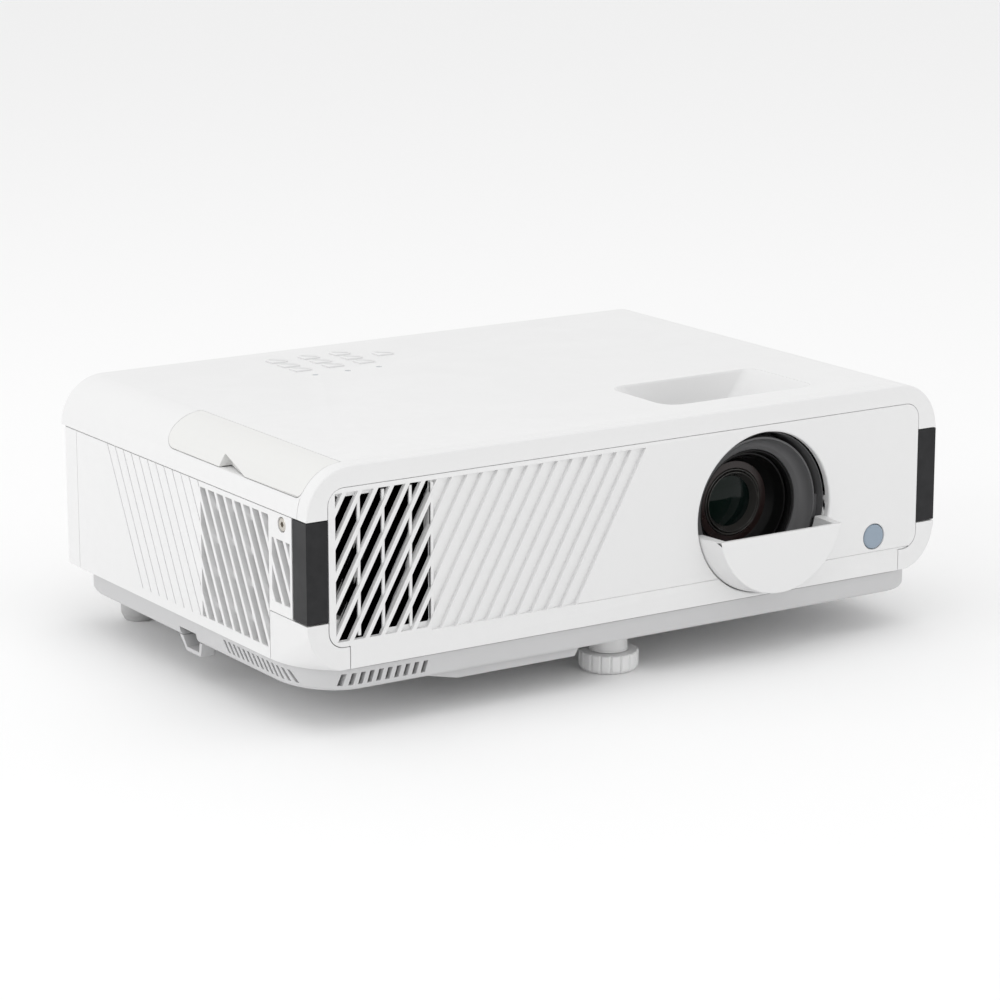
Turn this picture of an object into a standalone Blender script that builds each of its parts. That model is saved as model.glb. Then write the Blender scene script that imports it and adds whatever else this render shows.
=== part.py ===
"""Home projector, as separate moulded shells, optics, fans, boards, keys and feet.

Metres, +Z up, front towards -Y. The origin is on the table, under the middle of the object.
"""

import math

import bmesh
import bpy
from mathutils import Matrix, Vector

# Driving dimensions of the case
WIDTH = 0.312
DEPTH = 0.222
HEIGHT = 0.108
HALF = WIDTH / 2
REAR = DEPTH / 2
LIP_FRONT = -DEPTH / 2
FRONT = LIP_FRONT + 0.012
SEAM = 0.0264  # where the white shells stand on the grey base
BAND = 0.0876  # lower edge of the top cover on the sides
INSERT_LOW = 0.0469  # foot of the black corner inserts
SHOULDER = 0.020
WALL = 0.0022
GAP = 0.0003
BEZEL_BACK = FRONT + 0.0068
REAR_HOOP = REAR - 0.014

# Slanted slats of the grilles
SLAT_PITCH = 0.00715
SLAT_WIDTH = 0.0022
FRONT_LEAN = 0.56
FRONT_FOOT = -0.1434  # where one front slat stands at the bottom of its grille
SIDE_PITCH = 0.00725
SIDE_LEAN = 0.53

# Lens
LENS = Vector((0.0643, 0.0, 0.0621))
LENS_HOLE = 0.0342
LIP_TOP = 0.0559
IR_WINDOW = (0.1232, 0.0435)
BARREL = 0.0265
RING_FRONTS = {"focus_ring": -0.0765, "zoom_ring": -0.0605}
RING_LENGTH = 0.0125
RING_RADIUS = 0.0312

# Recess over the rings
WELL_MOUTH = (0.0285, 0.1058, -0.0787, -0.0345)
WELL_FLOOR = (0.0385, 0.0925, -0.0775, -0.0415)
WELL_DEPTH = 0.0155

# Lamp door on the left shoulder
DOOR_LOW = 0.0957
DOOR_INNER = -0.1365
DOOR_REAR = 0.020
LAMP_SCREW = (-0.0801, 0.0832)  # Y, Z

# Keypad
KEY_SIZE = (0.0078, 0.0064)
KEY_COLUMNS = (-0.0611, -0.0448, -0.0291, -0.0131)
KEY_ROWS = (0.0900, 0.0795, 0.0690)
KEY_PROUD = 0.0009
KEY_HEIGHT = 0.0045
KEY_NAMES = ("menu", "up", "source", "left", "enter", "right", "exit", "down", "help")
LIGHT_Y = 0.0565

# Feet
FOOT = Vector((0.0, -0.078, 0.0))
STEM_RADIUS = 0.0081
KNOB_RADIUS = 0.0125
KNOB_HEIGHT = 0.0082
REAR_FEET = (0.128, 0.097)

# Fans
BLADES = 7
BLADE_TWIST = 0.55

# Rear sockets: name, x, z of the middle, width, height, depth
SOCKETS = (
    ("ac_inlet", -0.118, 0.048, 0.0276, 0.0200, 0.022),
    ("hdmi_port_1", 0.020, 0.041, 0.0170, 0.0078, 0.012),
    ("hdmi_port_2", 0.046, 0.041, 0.0170, 0.0078, 0.012),
    ("usb_port", 0.071, 0.041, 0.0150, 0.0080, 0.014),
)
SOCKET_RIM = 0.0013
JACKS = (("audio_in_jack", 0.093), ("audio_out_jack", 0.108))
JACK_Z = 0.041
JACK_RADIUS = 0.0036
# Openings in the rear panel, as low X, high X, low Z, high Z
INLET_OPENING = (-0.1430, -0.0930, 0.0352, 0.0608)
PLATE_OPENING = (0.0060, 0.1200, 0.0310, 0.0520)


def clear_scene():
    for obj in list(bpy.data.objects):
        bpy.data.objects.remove(obj, do_unlink=True)


def plastic(name, colour, roughness, metallic=0.0):
    material = bpy.data.materials.new(name)
    material.use_nodes = True
    shader = material.node_tree.nodes["Principled BSDF"]
    shader.inputs["Base Color"].default_value = (*colour, 1.0)
    shader.inputs["Roughness"].default_value = roughness
    shader.inputs["Metallic"].default_value = metallic
    return material


def make_materials():
    return {
        "shell_white": plastic("shell_white", (0.86, 0.86, 0.86), 0.42),
        "base_grey": plastic("base_grey", (0.52, 0.52, 0.53), 0.5),
        "satin_black": plastic("satin_black", (0.013, 0.013, 0.015), 0.35),
        "lens_black": plastic("lens_black", (0.01, 0.01, 0.011), 0.5),
        "shroud_grey": plastic("shroud_grey", (0.09, 0.09, 0.095), 0.5),
        "lens_glass": plastic("lens_glass", (0.02, 0.03, 0.03), 0.05),
        "window_blue": plastic("window_blue", (0.32, 0.4, 0.48), 0.2),
        "steel": plastic("steel", (0.6, 0.58, 0.55), 0.3, 1.0),
        "cast_metal": plastic("cast_metal", (0.3, 0.3, 0.31), 0.45, 1.0),
        "board_green": plastic("board_green", (0.02, 0.12, 0.05), 0.6),
        "foot_rubber": plastic("foot_rubber", (0.55, 0.55, 0.55), 0.8),
    }


def add_box(bm, low, high):
    size = [b - a for a, b in zip(low, high)]
    middle = [(a + b) / 2 for a, b in zip(low, high)]
    matrix = Matrix.Translation(middle) @ Matrix.Diagonal((*size, 1.0))
    bmesh.ops.create_cube(bm, size=1.0, matrix=matrix)


def add_loft(bm, low_loop, high_loop):
    """A solid between two loops with the same number of points."""
    low = [bm.verts.new(point) for point in low_loop]
    high = [bm.verts.new(point) for point in high_loop]
    count = len(low)
    faces = [bm.faces.new(low), bm.faces.new(high)]
    for i in range(count):
        j = (i + 1) % count
        faces.append(bm.faces.new((low[i], low[j], high[j], high[i])))
    bmesh.ops.recalc_face_normals(bm, faces=faces)


def along(axis, first, second, height):
    """A point from two outline values and the height along the axis."""
    if axis == "x":
        return (height, first, second)
    if axis == "y":
        return (first, height, second)
    return (first, second, height)


def add_prism(bm, outline, axis, low, high):
    add_loft(bm, [along(axis, a, b, low) for a, b in outline], [along(axis, a, b, high) for a, b in outline])


def add_turned(bm, profile, axis, centre, segments):
    """A closed profile of (radius, height) turned about an axis; a radius of 0 is a point on it."""
    rings = []
    for radius, height in profile:
        if radius == 0:
            rings.append([bm.verts.new(along(axis, centre[0], centre[1], height))])
            continue
        ring = []
        for i in range(segments):
            angle = 2 * math.pi * i / segments
            first = centre[0] + radius * math.cos(angle)
            second = centre[1] + radius * math.sin(angle)
            ring.append(bm.verts.new(along(axis, first, second, height)))
        rings.append(ring)
    faces = []
    closed = profile[0][0] > 0
    last = len(rings) if closed else len(rings) - 1
    for k in range(last):
        near, far = rings[k], rings[(k + 1) % len(rings)]
        for i in range(segments):
            j = (i + 1) % segments
            corners = [near[i % len(near)], near[j % len(near)], far[j % len(far)], far[i % len(far)]]
            faces.append(bm.faces.new(list(dict.fromkeys(corners))))
    bmesh.ops.recalc_face_normals(bm, faces=faces)


def tube_profile(inner, outer, low, high):
    return [(outer, low), (outer, high), (inner, high), (inner, low)]


def rod_profile(radius, low, high):
    return [(0, low), (radius, low), (radius, high), (0, high)]


def arc(centre, radii, start, end, steps):
    points = []
    for i in range(steps + 1):
        angle = math.radians(start + (end - start) * i / steps)
        points.append((centre[0] + radii[0] * math.cos(angle), centre[1] + radii[1] * math.sin(angle)))
    return points


def rounded(low_a, high_a, low_b, high_b, radii, steps=4):
    """A rectangle with elliptical corners, anticlockwise from the low-b side."""
    ra, rb = radii
    return (
        arc((high_a - ra, low_b + rb), radii, -90, 0, steps)
        + arc((high_a - ra, high_b - rb), radii, 0, 90, steps)
        + arc((low_a + ra, high_b - rb), radii, 90, 180, steps)
        + arc((low_a + ra, low_b + rb), radii, 180, 270, steps)
    )


def clipped(outline, keep):
    """The part of a convex outline where keep(point) is positive; keep is linear."""
    result = []
    for i, here in enumerate(outline):
        after = outline[(i + 1) % len(outline)]
        a, b = keep(here), keep(after)
        if a >= 0:
            result.append(here)
        if a * b < 0:
            t = a / (a - b)
            result.append((here[0] + (after[0] - here[0]) * t, here[1] + (after[1] - here[1]) * t))
    return result


def slanted_slots(left, right, bottom, top, lean, pitch, width, phase):
    """Outlines of slanted slots in a rectangle, between slats that stand a pitch apart."""
    slots = []
    reach = abs(lean) * (top - bottom)
    first = math.floor((left - reach - phase) / pitch)
    last = math.ceil((right + reach - phase) / pitch)
    for k in range(first, last + 1):
        foot = phase + k * pitch + width
        shift = lean * (top - bottom)
        outline = [(foot, bottom), (foot + pitch - width, bottom)]
        outline += [(foot + pitch - width + shift, top), (foot + shift, top)]
        outline = clipped(outline, lambda p: p[0] - left)
        outline = clipped(outline, lambda p: right - p[0]) if len(outline) > 2 else outline
        area = sum(a[0] * b[1] - b[0] * a[1] for a, b in zip(outline, outline[1:] + outline[:1])) / 2
        if abs(area) > 1.2e-5:
            slots.append(outline)
    return slots


def finish_mesh(name, bm, material, origin):
    bmesh.ops.translate(bm, verts=bm.verts, vec=-Vector(origin))
    mesh = bpy.data.meshes.new(name)
    bm.to_mesh(mesh)
    bm.free()
    obj = bpy.data.objects.new(name, mesh)
    obj.location = origin
    bpy.context.scene.collection.objects.link(obj)
    if material is not None:
        mesh.materials.append(material)
    return obj


def piece(name, material, build, origin=(0, 0, 0), smooth=False):
    bm = bmesh.new()
    build(bm)
    obj = finish_mesh(name, bm, material, origin)
    if smooth:
        obj.data.shade_smooth()
        obj.data.set_sharp_from_angle(angle=math.radians(35))
    return obj


def boolean(obj, build, operation="DIFFERENCE", crossing=False):
    """Cuts or joins one hidden tool mesh, which may hold several solids; crossing says that they overlap."""
    bm = bmesh.new()
    build(bm)
    tool = finish_mesh(f"{obj.name}_{operation.lower()}_tool_{len(obj.modifiers)}", bm, None, (0, 0, 0))
    tool.hide_render = True
    tool.display_type = "WIRE"
    modifier = obj.modifiers.new(operation.title(), "BOOLEAN")
    modifier.operation = operation
    modifier.solver = "EXACT"
    modifier.use_self = crossing
    modifier.object = tool


def case_profile(inset, low):
    """The top and shoulders in X and Z, set in by a wall's thickness, open at the bottom."""
    radius = SHOULDER - inset
    side = HALF - inset
    centre_z = HEIGHT - SHOULDER
    right = [(side, low)] + arc((HALF - SHOULDER, centre_z), (radius, radius), 0, 90, 6)
    left = [(-x, z) for x, z in reversed(right)]
    return right + left


# ---------------------------------------------------------------- case


def base_outline(inset):
    return rounded(
        -HALF + 0.0025 + inset, HALF - 0.0025 - inset, FRONT + 0.0015 + inset, REAR - 0.0025 - inset,
        (0.021 - inset / 2, 0.027 - inset / 2), 5,
    )


def make_base(materials):
    floor, top = 0.0172, SEAM - GAP

    def build(bm):
        add_prism(bm, base_outline(0.0), "z", floor, top)

    tray = piece("base_tray", materials["base_grey"], build)

    def hollow(bm):
        add_prism(bm, base_outline(0.0025), "z", floor + 0.0024, top + 0.01)

    def louvres(bm):
        for i in range(14):
            y = -0.0765 + i * 0.0043
            for side in (-1, 1):
                x = side * HALF
                add_box(bm, (x - 0.008, y, 0.0198), (x + 0.008, y + 0.0019, 0.0242))
        for i in range(10):
            x = -0.1405 + i * 0.0043
            add_box(bm, (x, FRONT - 0.004, 0.0198), (x + 0.0022, FRONT + 0.014, 0.0242))

    def fittings(bm):
        plinth = [(-0.093, 0.0178), (-0.086, 0.0130), (-0.032, 0.0130), (-0.027, 0.0178)]
        add_prism(bm, plinth, "y", FRONT + 0.009, -0.030)
        add_turned(bm, rod_profile(0.0115, 0.0176, 0.0440), "z", FOOT.xy, 24)

    def holes(bm):
        add_turned(bm, rod_profile(STEM_RADIUS + 0.0004, 0.010, 0.0425), "z", FOOT.xy, 24)
        add_box(bm, (-HALF, -0.0055, 0.0160), (-0.1450, 0.0105, 0.0204))

    boolean(tray, hollow)
    boolean(tray, fittings, "UNION")
    boolean(tray, louvres)
    boolean(tray, holes)


def door_angles():
    """Where the lamp door starts and ends on the shoulder's arc, in degrees."""
    low = 180 - math.degrees(math.asin((DOOR_LOW - HEIGHT + SHOULDER) / SHOULDER))
    return low, math.degrees(math.acos((DOOR_INNER + HALF - SHOULDER) / SHOULDER))


def make_top_cover(materials):
    def build(bm):
        outline = case_profile(0, BAND) + list(reversed(case_profile(WALL, BAND)))
        add_prism(bm, outline, "y", BEZEL_BACK + GAP, REAR)

    cover = piece("top_cover", materials["shell_white"], build)

    def openings(bm):
        start = door_angles()[0] + math.degrees(GAP / (SHOULDER - WALL))
        middle = (DOOR_INNER + GAP, HEIGHT - SHOULDER)
        edge = arc(middle, (0.04, 0.04), start, 90, 2)
        add_prism(bm, [middle] + edge, "y", BEZEL_BACK - 0.01, DOOR_REAR + GAP)
        mouth = rounded(*[v + s * GAP for v, s in zip(WELL_MOUTH, (-1, 1, -1, 1))], (0.0083, 0.0083))
        add_prism(bm, mouth, "z", 0.100, 0.112)
        for _, x, y in key_places():
            a, b = KEY_SIZE[0] / 2 + GAP, KEY_SIZE[1] / 2 + GAP
            add_box(bm, (x - a, y - b, 0.100), (x + a, y + b, 0.112))
        for x in KEY_COLUMNS[:3]:
            add_turned(bm, rod_profile(0.0015, 0.100, 0.112), "z", (x, LIGHT_Y), 10)

    boolean(cover, openings)


def front_opening(inset):
    """The front panel's outline in X and Z: rounded on top, narrower in its lowest strip."""
    side, strip, top = 0.1464 - inset, 0.1366 - inset, 0.0997 - inset
    right = [(strip, SEAM + GAP), (strip, 0.0357)]
    right += arc((0.1405 - inset, 0.0425), (0.0059, 0.0059), -60, 0, 3)
    right += arc((side - 0.007, top - 0.007), (0.007, 0.007), 0, 90, 4)
    return right + [(-x, z) for x, z in reversed(right)]


def make_front_bezel(materials):
    def build(bm):
        corner = arc((HALF - SHOULDER, SEAM + SHOULDER), (SHOULDER, SHOULDER), 0, -90, 6)
        profile = [(-x, z) for x, z in corner] + [(x, z) for x, z in reversed(corner)]
        top = case_profile(0, BAND)
        add_prism(bm, profile + top[1:-1], "y", FRONT, BEZEL_BACK)

    bezel = piece("front_bezel", materials["shell_white"], build)

    def wings(bm):
        for side in (-1, 1):
            a, b = sorted((side * (HALF - 0.0040), side * HALF))
            outline = [(BEZEL_BACK - 0.003, 0.0330), (-0.0698, SEAM + GAP), (-0.0698, 0.0463)]
            outline += [(-0.0885, 0.0463), (-0.0885, BAND - GAP), (BEZEL_BACK - 0.003, BAND - GAP)]
            add_prism(bm, outline, "x", a, b)

    def openings(bm):
        outline = [(x, z if z > SEAM + 0.001 else SEAM - 0.01) for x, z in front_opening(-GAP)]
        add_prism(bm, outline, "y", FRONT - 0.01, BEZEL_BACK + 0.01)
        for side in (-1, 1):
            low, high = sorted((side * 0.1460, side * (HALF + 0.01)))
            add_box(bm, (low, FRONT - 0.01, 0.0466), (high, FRONT + 0.0028, BAND + 0.0003))
            low, high = sorted((side * (HALF - 0.0028), side * (HALF + 0.01)))
            add_box(bm, (low, FRONT - 0.01, 0.0466), (high, -0.0879, BAND + 0.0003))

    boolean(bezel, wings, "UNION")
    boolean(bezel, openings, crossing=True)


def make_corner_inserts(materials):
    front_leg, side_leg, thick = 0.0097, 0.0108, 0.0025
    for name, side in (("corner_insert_left", -1), ("corner_insert_right", 1)):
        corners = (
            (HALF, FRONT), (HALF, FRONT + side_leg), (HALF - thick, FRONT + side_leg),
            (HALF - thick, FRONT + thick), (HALF - front_leg, FRONT + thick), (HALF - front_leg, FRONT),
        )
        outline = [(side * x, y) for x, y in corners]
        piece(name, materials["satin_black"],
              lambda bm, o=outline: add_prism(bm, o, "z", INSERT_LOW, BAND - GAP))


def make_front_panel(materials):
    thick = 0.0030
    panel = piece("front_panel", materials["shell_white"],
                  lambda bm: add_prism(bm, front_opening(GAP), "y", FRONT, FRONT + thick))

    def openings(bm):
        add_turned(bm, rod_profile(LENS_HOLE, -0.12, -0.09), "y", (LENS.x, LENS.z), 40)
        add_turned(bm, rod_profile(0.0056, -0.12, -0.09), "y", IR_WINDOW, 16)
        grille = (-0.1425, -0.0998, 0.0400, 0.0955)
        for outline in slanted_slots(*grille, FRONT_LEAN, SLAT_PITCH, SLAT_WIDTH, FRONT_FOOT):
            add_prism(bm, outline, "y", -0.12, -0.09)

    def ribs(bm):
        for x in (-0.1325, -0.1205, -0.1085):
            add_box(bm, (x - 0.0007, FRONT + thick - GAP, 0.0380), (x + 0.0007, FRONT + 0.0055, 0.0965))

    boolean(panel, openings)
    boolean(panel, ribs, "UNION")


def make_side_panels(materials):
    low, high = SEAM + GAP, BAND - GAP
    rear = REAR_HOOP - GAP
    for name, side in (("side_panel_left", -1), ("side_panel_right", 1)):
        inner, outer = sorted((side * (HALF - 0.0025), side * HALF))
        outline = [
            (-0.0694, low), (rear, low), (rear, high),
            (-0.0876, high), (-0.0876, INSERT_LOW - 0.0002), (-0.0694, INSERT_LOW - 0.0002),
        ]
        panel = piece(name, materials["shell_white"],
                      lambda bm, o=outline, a=inner, b=outer: add_prism(bm, o, "x", a, b))

        def openings(bm, screw_hole=side < 0):
            for grille in ((-0.0660, -0.0140, 0.0313, 0.0850), (-0.0850, -0.0725, 0.0515, 0.0765)):
                for outline in slanted_slots(*grille, SIDE_LEAN, SIDE_PITCH, SLAT_WIDTH, 0.0):
                    add_prism(bm, outline, "x", -0.2, 0.2)
            if screw_hole:
                add_turned(bm, rod_profile(0.0031, -0.2, 0.0), "x", LAMP_SCREW, 16)

        def ribs(bm, side=side):
            for y in (-0.0545, -0.0400, -0.0255):
                a, b = sorted((side * (HALF - 0.0045), side * (HALF - 0.0022)))
                add_box(bm, (a, y - 0.0007, 0.0295), (b, y + 0.0007, 0.0868))

        boolean(panel, openings)
        boolean(panel, ribs, "UNION")


def make_rear_panel(materials):
    plate = 0.0025

    def build(bm):
        outline = [
            (-HALF, REAR_HOOP), (-HALF + plate, REAR_HOOP), (-HALF + plate, REAR - plate),
            (HALF - plate, REAR - plate), (HALF - plate, REAR_HOOP), (HALF, REAR_HOOP), (HALF, REAR), (-HALF, REAR),
        ]
        add_prism(bm, outline, "z", SEAM + GAP, BAND - GAP)

    panel = piece("rear_panel", materials["shell_white"], build)

    def upper(bm):
        add_prism(bm, case_profile(WALL + GAP, 0.080), "y", REAR - plate, REAR - 0.0004)

    def openings(bm):
        for low_x, high_x, low_z, high_z in (INLET_OPENING, PLATE_OPENING):
            add_box(bm, (low_x, 0.10, low_z), (high_x, 0.12, high_z))
        for i in range(7):
            z = 0.0640 + i * 0.0052
            add_box(bm, (-0.140, 0.10, z), (-0.060, 0.12, z + 0.0026))

    boolean(panel, upper, "UNION")
    boolean(panel, openings)

    low_x, high_x, low_z, high_z = PLATE_OPENING

    def blank(bm):
        low = (low_x + GAP, REAR - 0.0036, low_z + GAP)
        add_box(bm, low, (high_x - GAP, REAR - 0.0014, high_z - GAP))

    sockets = piece("socket_plate", materials["base_grey"], blank)

    def holes(bm):
        for _, x, z, width, height, _ in SOCKETS[1:]:
            a, b = width / 2 + GAP, height / 2 + GAP
            add_box(bm, (x - a, 0.10, z - b), (x + a, 0.12, z + b))
        for _, x in JACKS:
            add_turned(bm, rod_profile(JACK_RADIUS + GAP, 0.10, 0.12), "y", (x, JACK_Z), 16)

    boolean(sockets, holes)


def make_ring_well(materials):
    top = HEIGHT - 0.0001
    floor = top - WELL_DEPTH
    wall = 0.0012
    radii = (0.008, 0.008)

    def build(bm):
        mouth = rounded(*WELL_MOUTH, radii)
        base = rounded(*WELL_FLOOR, (0.006, 0.006))
        add_loft(bm, [(x, y, floor - wall) for x, y in base], [(x, y, top) for x, y in mouth])

    well = piece("ring_well", materials["shell_white"], build)

    def hollow(bm):
        rise = 0.010
        grow = (WELL_DEPTH + rise) / WELL_DEPTH
        low = [v + s * wall for v, s in zip(WELL_FLOOR, (1, -1, 1, -1))]
        high = [a + (b + s * wall - a) * grow for a, b, s in zip(low, WELL_MOUTH, (1, -1, 1, -1))]
        base = rounded(*low, (0.005, 0.005))
        mouth = rounded(*high, (0.009, 0.009))
        add_loft(bm, [(x, y, floor) for x, y in base], [(x, y, top + rise) for x, y in mouth])

    def window(bm):
        add_box(bm, (LENS.x - 0.0245, -0.0770, 0.080), (LENS.x + 0.0245, -0.0465, 0.0945))

    boolean(well, hollow)
    boolean(well, window)


# ---------------------------------------------------------------- lens


def make_lens(materials):
    centre = (LENS.x, LENS.z)

    def lip_blank(bm):
        back = FRONT + 0.003
        profile = [(0, LIP_FRONT), (0.0319, LIP_FRONT), (0.0339, FRONT), (0.0339, back), (0, back)]
        add_turned(bm, profile, "y", centre, 40)

    lip = piece("lens_lip", materials["shell_white"], lip_blank)

    def scoop(bm):
        add_box(bm, (0.0, -0.13, LIP_TOP), (0.13, -0.08, 0.12))
        add_turned(bm, [(0, LIP_FRONT + 0.003), (0.0295, LIP_FRONT + 0.003), (0.0320, -0.09), (0, -0.09)],
                   "y", centre, 40)

    boolean(lip, scoop, crossing=True)

    piece("lens_shroud", materials["shroud_grey"], lambda bm: add_turned(
        bm, [(0.0315, FRONT + 0.0034), (0.0335, FRONT + 0.0034), (0.0335, -0.0905), (0.0290, -0.0800),
             (0.0268, -0.0800), (0.0275, -0.0880)], "y", centre, 40), smooth=True)
    piece("lens_barrel", materials["lens_black"], lambda bm: add_turned(
        bm, [(0.0238, -0.0870), (BARREL, -0.0870), (BARREL, -0.0210), (0.0290, -0.0210), (0.0290, -0.0180),
             (0.0238, -0.0180)], "y", centre, 32), smooth=True)
    piece("lens_front_cell", materials["lens_black"], lambda bm: add_turned(
        bm, [(0.0232, -0.0850), (0.0235, -0.0850), (0.0235, -0.0640), (0.0130, -0.0640), (0.0130, -0.0700)],
        "y", centre, 32), origin=(LENS.x, 0, LENS.z), smooth=True)
    piece("lens_front_glass", materials["lens_glass"], lambda bm: add_turned(
        bm, [(0, -0.0745), (0.0060, -0.0738), (0.0110, -0.0715), (0.0127, -0.0700), (0.0127, -0.0660),
             (0, -0.0645)], "y", centre, 32), origin=(LENS.x, 0, LENS.z), smooth=True)
    piece("zoom_lens_group", materials["lens_black"], lambda bm: add_turned(
        bm, [(0, -0.0500), (0.0230, -0.0480), (0.0230, -0.0400), (0, -0.0380)], "y", centre, 24),
        origin=(LENS.x, 0, LENS.z), smooth=True)

    for name, front in RING_FRONTS.items():
        back = front + RING_LENGTH

        def ring(bm, front=front, back=back):
            add_turned(bm, tube_profile(BARREL + 0.0004, RING_RADIUS, front, back), "y", centre, 36)

        obj = piece(name, materials["lens_black"], ring, origin=(LENS.x, 0, LENS.z), smooth=True)

        def tab(bm, front=front, back=back):
            add_box(bm, (LENS.x - 0.0030, front + 0.003, LENS.z + 0.0300),
                    (LENS.x + 0.0030, back - 0.003, LENS.z + 0.0365))

        boolean(obj, tab, "UNION")


def make_optics(materials):
    def engine(bm):
        add_box(bm, (0.030, -0.0175, 0.0360), (0.1000, 0.0450, 0.0850))

    obj = piece("optical_engine", materials["cast_metal"], engine)
    boolean(obj, lambda bm: add_box(bm, (-0.020, 0.0020, 0.0450), (0.0310, 0.0300, 0.0750)), "UNION")

    piece("imaging_board", materials["board_green"],
          lambda bm: add_box(bm, (0.1003, -0.0150, 0.0380), (0.1020, 0.0420, 0.0840)))

    def sink_plate(bm):
        add_box(bm, (0.1023, -0.0100, 0.0420), (0.1060, 0.0380, 0.0800))

    def sink_fins(bm):
        for i in range(8):
            y = -0.0095 + i * 0.0064
            add_box(bm, (0.1050, y, 0.0425), (0.1220, y + 0.0024, 0.0795))

    sink = piece("chip_heat_sink", materials["cast_metal"], sink_plate)
    boolean(sink, sink_fins, "UNION")

    axle = (0.0160, 0.0560)
    piece("colour_wheel_motor", materials["cast_metal"],
          lambda bm: add_turned(bm, rod_profile(0.0130, -0.0450, -0.0310), "x", axle, 20), smooth=True)
    wheel = [(0, -0.0305), (0.0050, -0.0305), (0.0050, -0.0280), (0.0200, -0.0280), (0.0200, -0.0268), (0, -0.0268)]
    piece("colour_wheel", materials["steel"], lambda bm: add_turned(bm, wheel, "x", axle, 32),
          origin=(-0.0280, *axle), smooth=True)

    def lamp(bm):
        add_box(bm, (-0.1510, -0.0540, 0.0300), (-0.0960, 0.0060, 0.0930))

    lamp_module = piece("lamp_module", materials["shroud_grey"], lamp)
    boolean(lamp_module, lambda bm: add_turned(
        bm, [(0, -0.1100), (0.0100, -0.1100), (0.0240, -0.0940), (0, -0.0940)], "x", (-0.0240, 0.0600), 24))


# ---------------------------------------------------------------- electronics and cooling


def make_boards(materials):
    corners = {
        "main_board": ((0.0050, 0.0480, 0.0330), (0.1400, 0.1070, 0.0346)),
        "keypad_board": ((-0.0700, 0.0530, 0.1010), (-0.0070, 0.0960, 0.1022)),
        "power_board": ((-0.1000, 0.0500, 0.0300), (-0.0080, 0.0960, 0.0316)),
    }
    boards = {}
    for name, (low, high) in corners.items():
        boards[name] = piece(name, materials["board_green"], lambda bm, low=low, high=high: add_box(bm, low, high))

    def components(bm):
        add_box(bm, (-0.0950, 0.0550, 0.0310), (-0.0700, 0.0850, 0.0560))
        add_box(bm, (-0.0600, 0.0600, 0.0310), (-0.0400, 0.0800, 0.0500))
        add_turned(bm, rod_profile(0.0080, 0.0310, 0.0580), "z", (-0.0250, 0.0720), 16)

    boolean(boards["power_board"], components, "UNION")
    cone = [(0, 0.1370), (0.0100, 0.1370), (0.0100, 0.1440), (0.0190, 0.1480), (0.0190, 0.1510), (0, 0.1510)]
    piece("speaker", materials["satin_black"], lambda bm: add_turned(bm, cone, "x", (0.0250, 0.0560), 24), smooth=True)


def make_fan(materials, name, axis, centre, span, half):
    """A square frame with a round duct, and a rotor of seven blades on its hub."""
    low, high = span
    first, second = centre
    duct = half - 0.0025

    def rectangle(reach_a, reach_b):
        return [(first + a * reach_a, second + b * reach_b) for a, b in ((-1, -1), (1, -1), (1, 1), (-1, 1))]

    frame = piece(f"{name}_frame", materials["satin_black"],
                  lambda bm: add_prism(bm, rectangle(half, half), axis, low, high))

    def bore(bm):
        add_turned(bm, rod_profile(duct, low - 0.01, high + 0.01), axis, centre, 28)

    def struts(bm):
        thick = 0.0016
        add_turned(bm, rod_profile(0.0090, high - thick, high), axis, centre, 16)
        for outline in (rectangle(half - 0.001, 0.0012), rectangle(0.0012, half - 0.001)):
            add_prism(bm, outline, axis, high - thick + 0.0001, high - 0.0001)

    boolean(frame, bore)
    boolean(frame, struts, "UNION", crossing=True)

    def hub(bm):
        add_turned(bm, rod_profile(0.0095, low + 0.001, high - 0.0022), axis, centre, 20)

    origin = along(axis, first, second, (low + high) / 2)
    rotor = piece(f"{name}_rotor", materials["satin_black"], hub, origin=origin)

    def blade_section(turn, height):
        tip = duct - 0.0012
        loop = []
        for radius, spread in ((0.0085, -0.07), (tip, -0.03), (tip, 0.03), (0.0085, 0.07)):
            a = first + radius * math.cos(turn + spread)
            b = second + radius * math.sin(turn + spread)
            loop.append(along(axis, a, b, height))
        return loop

    def blades(bm):
        for i in range(BLADES):
            turn = 2 * math.pi * i / BLADES
            add_loft(bm, blade_section(turn, low + 0.002), blade_section(turn + BLADE_TWIST, high - 0.0035))

    boolean(rotor, blades, "UNION")


# ---------------------------------------------------------------- keys, door, feet and fittings


def key_places():
    places = []
    for row, y in enumerate(KEY_ROWS):
        for column, x in enumerate(KEY_COLUMNS[:3]):
            places.append((f"key_{KEY_NAMES[row * 3 + column]}", x, y))
    places.append(("key_power", KEY_COLUMNS[3], KEY_ROWS[1]))
    return places


def make_keys(materials):
    for name, x, y in key_places():
        a, b = KEY_SIZE[0] / 2, KEY_SIZE[1] / 2
        top = HEIGHT + KEY_PROUD

        def build(bm, x=x, y=y, a=a, b=b, top=top):
            add_box(bm, (x - a, y - b, top - KEY_HEIGHT), (x + a, y + b, top))

        key = piece(name, materials["shell_white"], build, origin=(x, y, HEIGHT))
        bevel = key.modifiers.new("Bevel", "BEVEL")
        bevel.width = 0.0004
        bevel.segments = 1
        bevel.limit_method = "ANGLE"
    for number, x in enumerate(KEY_COLUMNS[:3], 1):
        piece(f"status_light_{number}", materials["window_blue"], lambda bm, x=x: add_turned(
            bm, rod_profile(0.0012, 0.1026, HEIGHT + 0.0001), "z", (x, LIGHT_Y), 10))


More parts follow.
